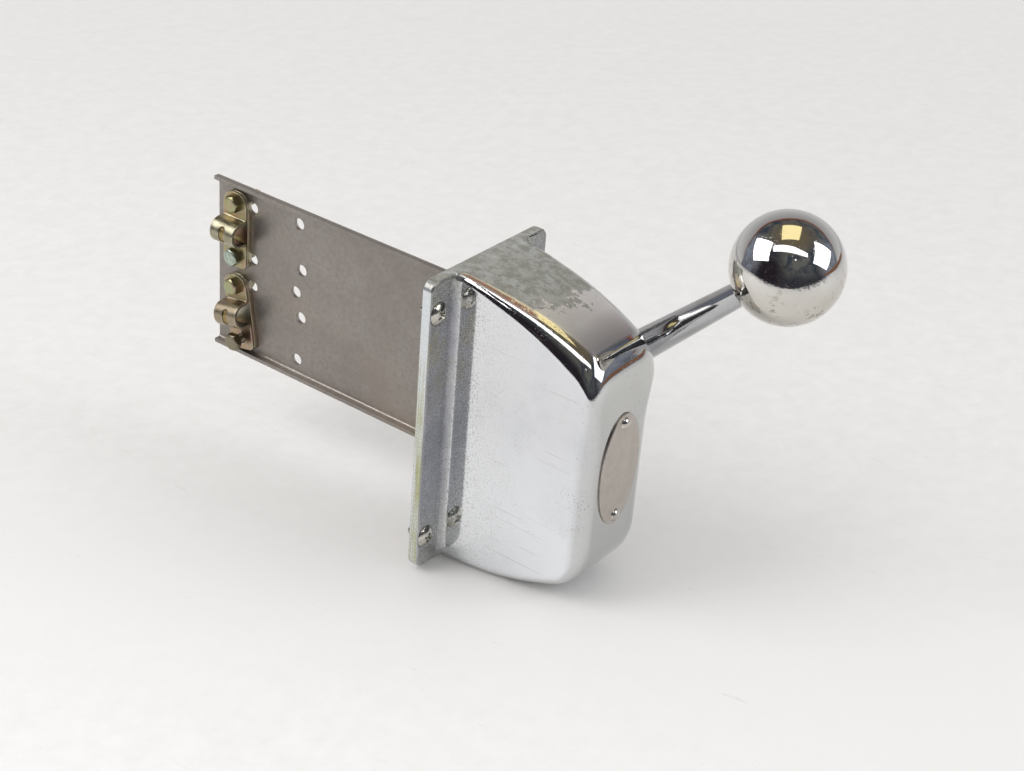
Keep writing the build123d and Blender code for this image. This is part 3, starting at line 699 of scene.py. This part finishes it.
knob_chrome, pitted, hair, bumps = chrome("knob_chrome", pits=0.6)
f = knob_chrome
below = f.ramp(f.axes()[2], 0.108, 0.092)
brown = f.times(f.clouds(320, 6, 0.75, 0.53, 0.59), f.clouds(60, 3, 0.6, 0.5, 0.58))
nicks = f.times(below, f.scratches(60, 900, (0.2, 1.2, 0.4), 0.7, 0.73))
dull = f.larger(f.larger(pitted, nicks), f.times(f.times(below, brown), 0.75))
# painted reflection: the ball's lower half is painted warm and darker, standing in for the shaded
# table below it; the brown stains and nicks there are wear
warm = f.blend(f.clouds(30, 4, 0.6, 0.35, 0.65), (0.555, 0.525, 0.465), (0.635, 0.61, 0.565))
f.wear("Base Color", f.layers((0.7, 0.7, 0.7), (below, warm), (dull, (0.25, 0.19, 0.135))))
f.wear("Roughness", f.plus(f.ramp(f.larger(dull, hair), 0.0, 1.0, 0.04, 0.24),
                           f.clouds(35, 4, 0.6, 0.4, 0.8, 0.0, 0.06)))
f.wear("Normal", bumps)

lever_chrome, pitted, hair, bumps = chrome("lever_chrome", pits=0.62)
f = lever_chrome
cloudy = f.blend(f.clouds(60, 4, 0.6, 0.35, 0.65), (0.53, 0.535, 0.55), (0.46, 0.46, 0.465))
f.wear("Base Color", f.blend(f.larger(pitted, f.times(hair, 0.35)), cloudy, (0.24, 0.21, 0.18)))
f.wear("Roughness", f.ramp(f.larger(pitted, hair), 0.0, 1.0, 0.06, 0.25))
f.wear("Normal", bumps)
print("chromes:", knob_chrome.material.name, lever_chrome.material.name)


# %% Where the housing is worn
housing_chrome, pitted, hair, bumps = chrome("housing_chrome", pits=0.52)
f = housing_chrome
x, y, z = f.axes()
facing = f.axes(f.add("TexCoord").outputs["Normal"])
rough_edge = f.times(f.minus(f.noise(70, 7, 0.72), 0.5), 0.055)
torn_edge = f.plus(rough_edge, f.times(f.minus(f.noise(330, 6, 0.75), 0.5), 0.042))
up_side = f.times(f.ramp(facing[2], 0.62, 0.76), f.ramp(f.unsigned(facing[1]), 0.3, 0.16))
up_side = f.times(up_side, f.ramp(facing[0], 0.64, 0.57))
up_round = f.ramp(facing[2], 0.5, 0.8)
side_on = f.ramp(f.unsigned(facing[1]), 0.8, 0.97)
reach = f.plus(f.plus(x, torn_edge), f.times(y, -0.25))
bloom_side = f.ramp(reach, 0.0445, 0.042)
bloom = f.times(up_side, bloom_side)
haze = f.times(up_side, f.ramp(x, 0.079, 0.045, 0.75, 1.0))
on_flange = f.ramp(f.plus(x, f.times(rough_edge, 0.03)), 0.0095, 0.0055)
near_flange = f.ramp(f.plus(x, rough_edge), 0.05, 0.006)
grain = f.noise(1300, 3, 0.6)
salt = f.times(f.ramp(grain, 0.53, 0.62), near_flange)
near_edge = f.times(f.ramp(f.times(facing[1], -1.0), 0.22, 0.4), up_round)
blotches = f.plus(f.noise(520, 5, 0.7), f.ramp(x, 0.045, 0.015, 0.0, 0.18))
rust = f.times(near_edge, f.ramp(blotches, 0.42, 0.54))
rust = f.times(rust, f.ramp(f.plus(x, rough_edge), 0.052, 0.038))
rust = f.times(rust, f.ramp(facing[2], 0.7, 0.8))

# %% Housing colour
mottle = f.noise(260, 7, 0.75)
patches = f.clouds(1, 7, 0.72, 0.51, 0.6, place=f.moved(scale=(38, 95, 60)))
light_patch = f.times(patches, f.ramp(mottle, 0.42, 0.52))
flakes = f.times(f.clouds(900, 5, 0.7, 0.6, 0.66), f.clouds(90, 3, 0.6, 0.48, 0.58))
bloom_colour = f.layers(
    (0.235, 0.235, 0.205),
    (f.ramp(mottle, 0.44, 0.58), (0.35, 0.35, 0.325)),
    (f.times(light_patch, 0.8), (0.39, 0.405, 0.4)),
    (flakes, (0.12, 0.11, 0.085)))
stain = f.times(f.clouds(38, 6, 0.7, 0.5, 0.66), f.ramp(z, 0.0, 0.05))
flange_low = f.times(f.ramp(z, -0.03, -0.062), f.ramp(mottle, 0.36, 0.6, 0.55, 1.0))
flange_colour = f.layers(
    (0.235, 0.24, 0.265),
    (f.clouds(45, 6, 0.7, 0.35, 0.7), (0.365, 0.37, 0.4)),
    (stain, (0.3, 0.27, 0.17)),
    (f.times(f.ramp(f.plus(z, rough_edge), 0.056, 0.066), 0.8), bloom_colour),
    (flange_low, (0.52, 0.53, 0.52)))
# painted reflection: the side faces are painted brighter than the top, and brighter still lower
# down, standing in for the bright table they mirror
lower_side = f.blend(f.ramp(z, 0.02, -0.035), (0.715, 0.725, 0.745), (0.84, 0.86, 0.885))
# the top's milky haze, painted darker and mauve towards the nose as a painted reflection of the
# dark room
haze_with_painted_reflection = f.layers(
    (0.86, 0.845, 0.84),
    (f.clouds(40, 4, 0.6, 0.35, 0.65), (0.96, 0.95, 0.945)),
    (f.ramp(x, 0.058, 0.073), (0.42, 0.39, 0.41)))
rust_colour = f.blend(f.clouds(800, 4, 0.7, 0.45, 0.58), (0.21, 0.15, 0.115), (0.28, 0.11, 0.06))
torn = f.times(f.times(bloom_side, f.minus(1.0, bloom_side)), f.times(up_side, 2.2))

# the flange's outer edges: pale at the top, with olive streaks lower down
edge = f.times(f.ramp(f.unsigned(facing[1]), 0.85, 0.97), f.ramp(x, 0.0058, 0.005))
streaks = f.clouds(1, 5, 0.6, 0.42, 0.56, place=f.moved(scale=(900, 900, 22)))
olive = f.times(streaks, f.ramp(f.plus(z, f.times(rough_edge, 0.8)), 0.042, 0.01))
olive = f.times(olive, f.clouds(60, 4, 0.6, 0.35, 0.55, 0.55, 1.0))
edge_colour = f.blend(olive, (0.66, 0.69, 0.71), (0.385, 0.385, 0.2))
f.wear("Base Color", f.layers(
    (0.63, 0.635, 0.64),
    (side_on, lower_side),
    # painted shade: faces turned to the front are painted darker, standing in for the darker table
    # the nose mirrors
    (f.ramp(facing[0], 0.75, 0.96), (0.595, 0.6, 0.59)),
    (f.times(f.clouds(33, 6, 0.65, 0.5, 0.68), 0.16), (0.45, 0.47, 0.52)),
    (f.times(hair, 0.4), (0.33, 0.31, 0.29)),
    (salt, (0.52, 0.52, 0.49)),
    (pitted, (0.26, 0.235, 0.2)),
    (f.times(haze, 0.9), haze_with_painted_reflection),
    (rust, rust_colour),
    (on_flange, flange_colour),
    (bloom, bloom_colour),
    (torn, (0.1, 0.09, 0.075)),
    (edge, edge_colour)))
print("housing colour:", len(f.tree.nodes), "nodes")

# %% Housing gloss and dents
metal = 1.0
for share, lost in ((bloom, 0.6), (haze, 0.27), (rust, 0.8), (on_flange, 0.25)):
    metal = f.minus(metal, f.times(share, lost))
stained = f.times(olive, f.times(edge, 0.4))
f.wear("Metallic", f.math("SUBTRACT", metal, stained, clamp=True))
gloss = f.ramp(f.larger(pitted, hair), 0.0, 1.0, 0.05, 0.26)
for share, least in ((salt, 0.42), (haze, 0.34), (on_flange, 0.24), (bloom, 0.5), (rust, 0.45)):
    gloss = f.larger(gloss, f.times(share, least))
f.wear("Roughness", gloss)
bumps = f.bump(f.times(grain, near_flange), 0.000012, bumps)
bumps = f.bump(f.times(bloom, f.plus(mottle, f.times(grain, 0.3))), 0.0001, bumps)
f.wear("Normal", bumps)
housing.data.materials.clear()
housing.data.materials.append(housing_chrome.material)
print("housing finish:", len(f.tree.nodes), "nodes")

# %% [markdown]
# ## Bare and plated steel
#
# The back plate is bare rolled steel that has browned in the hold. Its clamps and their
# screws are zinc plated and yellow passivated, which shows a thin oily rainbow.


# %% Back plate steel
plate_steel = Finish("plate_steel", (0.24, 0.22, 0.205), 0.75, 0.42)
f = plate_steel
cloud = f.noise(22, 7, 0.68)
fine = f.noise(420, 4, 0.6)
rolled = f.noise(1, 4, 0.6, place=f.moved(scale=(30, 30, 1400)))
f.wear("Base Color", f.layers(
    (0.245, 0.222, 0.203),
    (f.ramp(cloud, 0.35, 0.68), (0.345, 0.318, 0.293)),
    (f.times(f.ramp(fine, 0.45, 0.7), 0.5), (0.23, 0.2, 0.175)),
    (f.times(f.clouds(9, 5, 0.7, 0.55, 0.7), 0.55), (0.35, 0.3, 0.25))))
dullness = f.plus(f.times(cloud, 0.6), f.times(fine, 0.4))
f.wear("Roughness", f.ramp(dullness, 0.35, 0.65, 0.28, 0.48))
f.wear("Normal", f.bump(fine, 0.00002, f.bump(rolled, 0.000008)))


# %% Yellow zinc
def yellow_zinc(name, warm, cool, seed):
    """Zinc plating and its yellow film, whose rainbow swings between a warm and a cool colour."""
    f = Finish(name, warm, 1.0, 0.3)
    still, f.place = f.place, f.moved((seed, seed * 0.7, -seed))
    film = f.layers(
        warm,
        (f.clouds(95, 2, 0.5, 0.36, 0.62, distortion=1.2), cool),
        (f.times(f.clouds(150, 2, 0.5, 0.55, 0.7, distortion=1.0), 0.7), (0.46, 0.26, 0.27)),
        (f.times(f.clouds(170, 2, 0.5, 0.6, 0.48, distortion=1.4), 0.25), (0.3, 0.38, 0.2)),
        (f.times(f.clouds(900, 3, 0.6, 0.62, 0.7), 0.5), (0.16, 0.12, 0.07)))
    f.wear("Roughness", f.clouds(500, 3, 0.6, 0.35, 0.7, 0.28, 0.42))
    f.wear("Normal", f.bump(f.noise(700, 3, 0.6), 0.000007))
    f.place = still
    return f, film


# the straps: silvery on the hump, golden on the feet, with painted highlights along the edges, a
# painted shade line round the bead and painted shade in the tunnel
clamp_zinc, film = yellow_zinc("clamp_zinc", (0.44, 0.31, 0.17), (0.38, 0.33, 0.21), 0.0)
f = clamp_zinc
z = f.axes()[2]
lower = f.ramp(z, -0.004, -0.008)
rubbed = f.clouds(1, 4, 0.6, 0.35, 0.62, place=f.moved(scale=(260, 60, 260)))
silvery = f.layers((0.4, 0.385, 0.295), (rubbed, (0.31, 0.285, 0.2)),
                   (f.times(lower, 0.75), (0.35, 0.285, 0.2)))
pink = f.times(lower, f.clouds(260, 3, 0.6, 0.4, 0.62))
bead = f.attribute("bead")
# painted highlight: the strap's sharp edges, found by their pointiness, are painted bright
edges = f.ramp(f.add("NewGeometry").outputs["Pointiness"], 0.515, 0.57)
swirl = f.clouds(210, 2, 0.5, 0.4, 0.6, distortion=1.0)
# the lower tunnel's film rainbow, painted dark at its low end as painted shade
rainbow = f.layers((0.33, 0.37, 0.4), (swirl, (0.46, 0.37, 0.46)),
                   (f.ramp(z, -0.0215, -0.0245), (0.1, 0.09, 0.055)))
f.wear("Base Color", f.layers(
    film,
    (f.times(pink, 0.6), (0.47, 0.29, 0.25)),
    (f.times(f.attribute("hump"), 0.85), silvery),
    # painted shade: a dark line round the bead's sloping rim
    (f.ramp(bead, 0.02, 0.25), (0.075, 0.06, 0.035)),
    (f.ramp(bead, 0.45, 0.85), (0.36, 0.27, 0.12)),
    (f.times(edges, 0.9), (0.76, 0.72, 0.6)),
    # painted shade: the upper clamp's tunnel is painted dark brown
    (f.attribute("tunnel"), f.blend(lower, (0.125, 0.06, 0.04), rainbow))))

# the screws: pale faces, flanks painted darker as painted shade; the lowest one, never driven home,
# is darker
screw_zinc, film = yellow_zinc("screw_zinc", (0.44, 0.38, 0.2), (0.41, 0.41, 0.24), 3.1)
f = screw_zinc
z = f.axes()[2]
facing = f.axes(f.add("TexCoord").outputs["Normal"])
second_one = f.times(f.ramp(z, 0.018, 0.014), f.ramp(z, -0.002, 0.001))
mint = f.blend(f.clouds(600, 4, 0.6, 0.4, 0.6), (0.34, 0.4, 0.33), (0.5, 0.57, 0.49))
# painted shade: flanks turned away from the front are painted darker
painted_flank_shade = f.ramp(f.times(facing[1], -1.0), 0.85, 0.55, 0.0, 0.75)
f.wear("Base Color", f.layers(
    film,
    (second_one, mint),
    (f.ramp(z, -0.026, -0.03, 0.0, 0.85), (0.24, 0.215, 0.165)),
    (painted_flank_shade, (0.17, 0.135, 0.075))))
print("zinc:", clamp_zinc.material.name, screw_zinc.material.name)


# %% Small parts' metals
def plain_metal(name, colour, darker, roughness, scale=300, metallic=1.0, dent=0.00001):
    """A metal with cloudy tarnish between two colours and a fine grain."""
    f = Finish(name, colour, metallic, roughness)
    tarnish = f.ramp(f.noise(scale, 5.0, 0.65), 0.38, 0.66)
    f.wear("Base Color", f.blend(tarnish, colour, darker))
    f.wear("Roughness", f.ramp(tarnish, 0.0, 1.0, roughness, roughness + 0.14))
    f.wear("Normal", f.bump(f.noise(scale * 4, 3.0, 0.6), dent))
    return f


name_satin = plain_metal("name_satin", (0.53, 0.49, 0.45), (0.5, 0.46, 0.42), 0.36, 160)
rivet_nickel = plain_metal("rivet_nickel", (0.66, 0.64, 0.61), (0.42, 0.38, 0.34), 0.12)
bright_steel = plain_metal("bright_steel", (0.55, 0.55, 0.55), (0.4, 0.39, 0.37), 0.22)
panel_screw_metal = plain_metal("panel_screw_metal", (0.66, 0.65, 0.62), (0.45, 0.42, 0.34), 0.13,
                                420.0)
bronze = plain_metal("bronze", (0.5, 0.3, 0.14), (0.34, 0.2, 0.1), 0.3)
black_oxide = plain_metal("black_oxide", (0.045, 0.045, 0.048), (0.03, 0.03, 0.03), 0.36)
lining = plain_metal("lining", (0.1, 0.075, 0.055), (0.06, 0.05, 0.04), 0.85, 800, 0.0, 0.00005)

slot_finishes = {
    "chrome_lever": lever_chrome, "chrome_ball": knob_chrome, "nameplate_metal": name_satin,
    "nickel_rivets": rivet_nickel, "steel_screws": panel_screw_metal,
    "bare_steel_plate": plate_steel, "yellow_zinc": clamp_zinc, "steel_pins": bright_steel,
    "black_screw": black_oxide, "bronze_bush": bronze, "brake_lining": lining,
    "chrome_housing": housing_chrome,
}
for name, node in nodes.items():
    slot = node.material_slots[0].material.name if node.material_slots else ""
    found = [key for key in slot_finishes if key in slot]
    print(name, "|", slot, "|", found)
    for place in node.material_slots:
        if found:
            place.material = slot_finishes[found[0]].material
for name in ("clamp_screws", "clamp_nuts"):
    nodes[name].material_slots[0].material = screw_zinc.material

# %% [markdown]
# ## The cable clamps
#
# A clamp is a flat strip, a strap bent over the cable's hub, and two hex screws. The strap is
# stamped from 1.7 mm sheet, so its edges are soft, it is round at its upper end, and a bead is
# pressed into its back to catch the groove of the hub. A box with a boolean cannot give that
# bead, so the strap is lofted too: a small rounded section is carried along the strap's middle
# line, and the points near the crown are pushed in.


# %% Clamp sizes and places
clamp_pitch, clamp_half_w, clamp_half_l = 28.4 * mm, 7.5 * mm, 20.0 * mm
clamp_top_r, clamp_low_r = 6.6 * mm, 3.0 * mm
strap_t, strip_t, hub_r, bend_r = 1.7 * mm, 2.2 * mm, 4.8 * mm, 1.2 * mm
strap_round, strip_round, strip_face = 0.45 * mm, 0.35 * mm, 14.5 * mm
bead_half_l, bead_half_w, bead_deep, bead_slope = 2.2 * mm, 1.95 * mm, 0.8 * mm, 0.8 * mm
corners = ((1, 1, 0), (-1, 1, 90), (-1, -1, 180), (1, -1, 270))
clamp_ends = {"upper": ((-160, 36.0), (-160, 7.6)), "lower": ((-160, -8.8), (-155.2, -36.4))}


def clamp_place(which):
    """The clamp's own axes: X up its screw line, Y out of the plate, Z along the cable."""
    (x1, z1), (x2, z2) = clamp_ends[which]
    up = Vector((x1 - x2, 0, z1 - z2)).normalized()
    out = Vector((0, -1, 0))
    turn = Matrix((up, out, up.cross(out))).transposed().to_4x4()
    return Matrix.Translation(((x1 + x2) / 2 * mm, strip_face, (z1 + z2) / 2 * mm)) @ turn


def clamp_half_width(u, inset=0.0):
    """Half a clamp's width at u along it, drawn in at its two rounded ends."""
    radius = clamp_top_r if u > 0 else clamp_low_r
    return clamp_half_w - inset - drawn_in(radius - inset, clamp_half_l - inset - abs(u))


print("clamps at",
      [tuple(round(v / mm, 1) for v in clamp_place(w).translation) for w in clamp_ends])


# %% Strap
def strap_line():
    """The strap's middle line as (place, outward) pairs."""
    middle = strap_t / 2
    bend = bend_r + middle
    foot = hub_r + strap_t + bend_r
    run = [(Vector((clamp_half_l * (1 - i / 12) + foot * (i / 12), middle)), Vector((0, 1)))
           for i in range(13)]
    for i in range(1, 9):
        out, up = quarter(i, 8)
        run.append((Vector((foot - bend * up, middle + bend * (1 - out))), Vector((up, out))))
    arc = hub_r + middle
    for i in range(25):
        out, up = quarter(i, 24)
        run.append((Vector((arc * out, hub_r + arc * up)), Vector((out, up))))
    mirror = [(Vector((-p.x, p.y)), Vector((-n.x, n.y))) for p, n in run[-2::-1]]
    return run + mirror


def pressed_bead(u, v, w):
    """How deep the bead is pressed in at a place on the strap."""
    if v < hub_r:
        return 0.0
    along = abs(math.atan2(u, v - hub_r)) * (hub_r + strap_t / 2)
    off = math.hypot(max(along - bead_half_l, 0.0), w)
    return eased((bead_half_w - off) / bead_slope) * bead_deep


def strap_ring(place, outward, edge_in):
    """The strap's rounded section at one place of its middle line."""
    half_t = strap_t / 2 - edge_in
    half_w = clamp_half_width(place.x) - edge_in
    edge = min(strap_round, half_t * 0.98)
    shares = [0.8, 0.6, 0.46] + [0.36 * i / 9 for i in range(9, -10, -1)] + [-0.46, -0.6, -0.8]
    ring = []
    for side_w, side_t, first in corners:
        for i in range(5):
            across, through = quarter(i, 4, first)
            ring.append((side_w * (half_w - edge) + edge * across,
                         side_t * (half_t - edge) + edge * through))
        if side_t == side_w:
            end, level = ring[-1]
            ring += [(end * share, level) for share in shares]
    points = []
    for w, t in ring:
        sunk = pressed_bead(place.x, place.y, w) * (1.0 if t > 0 else 0.7)
        flat = place + outward * (t - sunk)
        points.append(Vector((flat.x, flat.y, w)))
    return points


def mark(piece):
    """Notes on each point whether it is on the hump, in the bead or inside the tunnel."""
    marks = {name: piece.data.attributes.new(name, "FLOAT", "POINT")
             for name in ("hump", "bead", "tunnel")}
    for number, point in enumerate(piece.data.vertices):
        u, v, w = point.co
        reach = math.hypot(u, max(v - hub_r, 0.0))
        inside = reach < hub_r + 0.25 * mm and v > -0.05 * mm
        on_hump = v > strap_t * 1.15 and not inside
        sunk = pressed_bead(u, v, w) / bead_deep if on_hump else 0.0
        for name, value in (("hump", on_hump), ("bead", sunk), ("tunnel", inside)):
            marks[name].data[number].value = float(value)


def strap(which):
    """A clamp's bent strap, with its ends rounded step by step."""
    line = strap_line()
    ends = []
    for place, outward in (line[0], line[-1]):
        steps = []
        for i in range(5):
            out, up = quarter(i, 4)
            steps.append((strap_round * (1 - out), strap_round * (1 - up) * 0.96))
        steps += [(back * mm, 0.0) for back in (0.8, 1.3, 2.0, 2.8, 3.8, 5.0)]
        ends.append([strap_ring(Vector((math.copysign(clamp_half_l - back, place.x), place.y)),
                                outward, edge_in) for back, edge_in in steps])
    middle = [strap_ring(p, n, 0.0) for p, n in line if abs(p.x) < clamp_half_l - 5.6 * mm]
    return loft(which + "_strap", ends[0] + middle + ends[1][::-1])


def clamp_piece(piece, which, middle, node):
    """Drills a clamp's piece for its two screws, marks it, and puts it in its place."""
    carve(piece, [turned("hole", [(2.7, -3), (2.7, 3)], (side * clamp_pitch / 2, middle, 0),
                         (0, 1, 0), 48) for side in (1, -1)])
    mark(piece)
    piece.data.transform(clamp_place(which))
    smooth(piece, 50.0)
    dress(piece, which + node, clamp_zinc)


for which in clamp_ends:
    clamp_piece(strap(which), which, strap_t / 2, "_clamp_saddle")


# %% Strips under the straps
def rim(inset):
    """A clamp's face as a closed line, inset from its edge."""
    line = []
    for u_side, w_side, first in corners:
        radius = (clamp_top_r if u_side > 0 else clamp_low_r) - inset
        for i in range(11):
            along, across = quarter(i, 10, first)
            line.append((u_side * (clamp_half_l - inset - radius) + radius * along,
                         w_side * (clamp_half_w - inset - radius) + radius * across))
    return line


def slab(name, line_at, low, high, edge):
    """A plate between two heights with rounded edges; line_at gives its outline at an inset."""
    rings = []
    for start, way in ((low, 1), (high, -1)):
        rows = []
        for i in range(5):
            out, up = quarter(i, 4)
            height = start + way * edge * (1 - out)
            rows.append([Vector((u, height, w)) for u, w in line_at(edge * (1 - up))])
        rings += rows if way > 0 else rows[::-1]
    return loft(name, rings)


for which in clamp_ends:
    strip = slab(which + "_strip", rim, -strip_t, 0.0, strip_round)
    clamp_piece(strip, which, -strip_t / 2, "_clamp_strip")

# %% [markdown]
# ## Screws and nuts
#
# A hex head is a six-sided bar whose face has been turned to a cone, which leaves a curved
# line at each corner. It is made the same way here: a prism is cut by a turned cone. The
# thread is a grid of points round the shank, each pulled in by its place on a helix.


# %% Hex heads and threads
def hexagon(across_flats, low, high):
    """A six-sided bar between two heights on Z."""
    radius = across_flats / math.sqrt(3)
    turns = [math.radians(60 * i) for i in range(6)]
    return loft("hex", [[Vector((radius * math.cos(a), radius * math.sin(a), z)) for a in turns]
                        for z in (low, high)])


def thread(radius, pitch, low, high, depth, around=24):
    """A threaded shank on Z: each point is pulled in by its place on a helix."""
    rows = max(2, int((high - low) / (pitch / 6)))
    rings = []
    for row in range(rows + 1):
        z = low + (high - low) * row / rows
        tip = max(0.0, depth * 1.5 - (high - z))
        ring = []
        for i in range(around):
            phase = (z / pitch - i / around) % 1.0
            fade = min((z - low) / pitch, 1.0)
            r = radius - depth * fade * (1 - abs(2 * phase - 1)) - tip
            a = 2 * math.pi * i / around
            ring.append(Vector((r * math.cos(a), r * math.sin(a), z)))
        rings.append(ring)
    return loft("thread", rings)


def stand(piece, origin, axis, twist=0.0):
    """Puts a piece made along Z at a place, along an axis, turned about it by twist degrees."""
    turn = Vector(axis).to_track_quat("Z", "Y").to_matrix().to_4x4()
    spin = Matrix.Rotation(math.radians(twist), 4, "Z")
    piece.data.transform(Matrix.Translation(origin) @ turn @ spin)
    return piece


def bevelled(piece, width, angle=30.0):
    """Rounds the sharp edges of a piece."""
    soften = piece.modifiers.new("bevel", "BEVEL")
    soften.width, soften.segments = width, 3
    soften.limit_method, soften.angle_limit = "ANGLE", math.radians(angle)
    settle(piece)
    smooth(piece, 40.0)


def joined(name, pieces):
    """One object from several."""
    shape = bmesh.new()
    for piece in pieces:
        shape.from_mesh(piece.data)
        bpy.data.objects.remove(piece)
    made = mesh_object(name, [], [])
    shape.to_mesh(made.data)
    shape.free()
    smooth(made, 40.0)
    return made


# %% Clamp screws and nuts
hex_flats, hex_height, nut_height = 8.0 * mm, 3.8 * mm, 4.0 * mm
washer_face, strap_face, screw_tip = 19.6 * mm, strip_face - strap_t, 29.6 * mm
head_cone = [(5.2, -0.5), (5.2, 2.45), (4.6, 2.85), (3.9, 3.4), (3.45, 3.68), (3.1, 3.79),
             (0.2, 3.8)]
nut_cone = [(3.7, -0.01), (4.7, 0.55), (4.7, 3.45), (3.7, 4.01)]
heads, nuts = [], []
turns = iter((12.0, 47.0, 27.0, 5.0))
for which in clamp_ends:
    for number, (x, z) in enumerate(clamp_ends[which]):
        loose = 4.0 * mm if (which, number) == ("lower", 1) else 0.0
        head = hexagon(hex_flats, 0.0, hex_height)
        carve(head, [turned("cone", head_cone, around=60)], "INTERSECT")
        bevelled(head, 0.14 * mm)
        twist = next(turns)
        heads.append(stand(head, (x * mm, strap_face - loose, z * mm), (0, -1, 0), twist))
        shank = thread(2.4 * mm, 0.8 * mm, 0.0, screw_tip - strap_face, 0.42 * mm)
        heads.append(stand(shank, (x * mm, strap_face - loose, z * mm), (0, 1, 0)))
        nut = hexagon(hex_flats, 0.0, nut_height)
        carve(nut, [turned("cone", nut_cone, around=60)], "INTERSECT")
        carve(nut, [turned("hole", [(2.42, -1), (2.42, 5)], around=40)])
        bevelled(nut, 0.12 * mm)
        nuts.append(stand(nut, (x * mm, washer_face, z * mm), (0, 1, 0), twist * 2))
for name, pieces in (("clamp_screws", heads), ("clamp_nuts", nuts)):
    dress(joined("hex_" + name, pieces), name, screw_zinc)

# %% [markdown]
# ## Panel screws and the nameplate
#
# The panel screws have oval heads in dished holes, with a cross recess worn by the driver.
# The nameplate is a thin oval pressed from satin sheet, held by two domed rivets.

# %% Panel screws
face, head_r, head_rise, shank_r, stud_r, stud_out = 5.2, 5.2, 2.1, 2.4, 2.2, 3.8
ball_r = (head_rise ** 2 + head_r ** 2) / (2 * head_rise)
cone_deep = (head_r - shank_r) / math.tan(math.radians(41))
crown_line = [(ball_r * math.sin(a), face + head_rise - ball_r * (1 - math.cos(a)))
              for a in [math.asin(head_r / ball_r) * i / 12 for i in range(12, 0, -1)]]
profile = [(shank_r, 0.0), (shank_r, face - cone_deep), (head_r - 0.06, 5.12)]
profile += [(r, h) for r, h in crown_line if r < head_r - 0.05] + [(0.15, face + head_rise)]
# one arm of the recess: half its length and width in mm at two heights
recess = ((5.3, 1.5, 0.42), (7.6, 2.9, 0.68))
box_faces = [[3, 2, 1, 0], [4, 5, 6, 7], [0, 1, 5, 4], [1, 2, 6, 5], [2, 3, 7, 6], [3, 0, 4, 7]]
screws = []
for number, (side, up) in enumerate(((-1, 1), (1, 1), (-1, -1), (1, -1))):
    head = turned("head", profile)
    slots = []
    for way in (0.0, 90.0):
        blade = mesh_object("blade", [(u * half_l * mm, v * half_w * mm, h * mm) for h,
                                      half_l, half_w in recess for u,
                                      v in ((1, 1), (-1, 1), (-1, -1), (1, -1))], box_faces)
        blade.data.transform(Matrix.Rotation(math.radians(way + 0.01), 4, "Z"))
        slots.append(blade)
    slots.append(turned("well", [(0.5, 5.25), (1.55, 7.6)], around=24))
    carve(head, slots)
    bevelled(head, 0.07 * mm, 35.0)
    place = (0, side * panel_screw_y * mm, up * panel_screw_z * mm)
    screws.append(stand(head, place, (1, 0, 0), (38.0, 12.0, 66.0, 80.0)[number]))
    stud = thread(stud_r * mm, 0.8 * mm, 0.0, stud_out * mm, 0.35 * mm)
    screws.append(stand(stud, place, (-1, 0, 0)))
ovals = joined("oval_panel_screws", screws)
mend(ovals)
dress(ovals, "panel_screws", panel_screw_metal)


# %% Nameplate
def oval(inset):
    """The nameplate's outline as (across, up) pairs, inset from its edge."""
    half_w, half_h = 14.0 * mm - inset, 27.5 * mm - inset
    turns = [2 * math.pi * i / 96 for i in range(96)]
    return [(half_w * math.cos(a), half_h * math.sin(a)) for a in turns]


badge = slab("blank_nameplate", oval, 0.0, 0.9 * mm, 0.32 * mm)
badge.data.transform(Matrix.Translation((depth, 0, -3.0 * mm))
                     @ Matrix(((0, 1, 0, 0), (1, 0, 0, 0), (0, 0, 1, 0), (0, 0, 0, 1))))
mend(badge)
carve(badge, [turned("hole", [(1.25, -1), (1.25, 2)], (depth, 0, z * mm), (1, 0, 0), 32)
              for z in rivet_heights])
smooth(badge, 50.0)
dress(badge, "nameplate", name_satin)
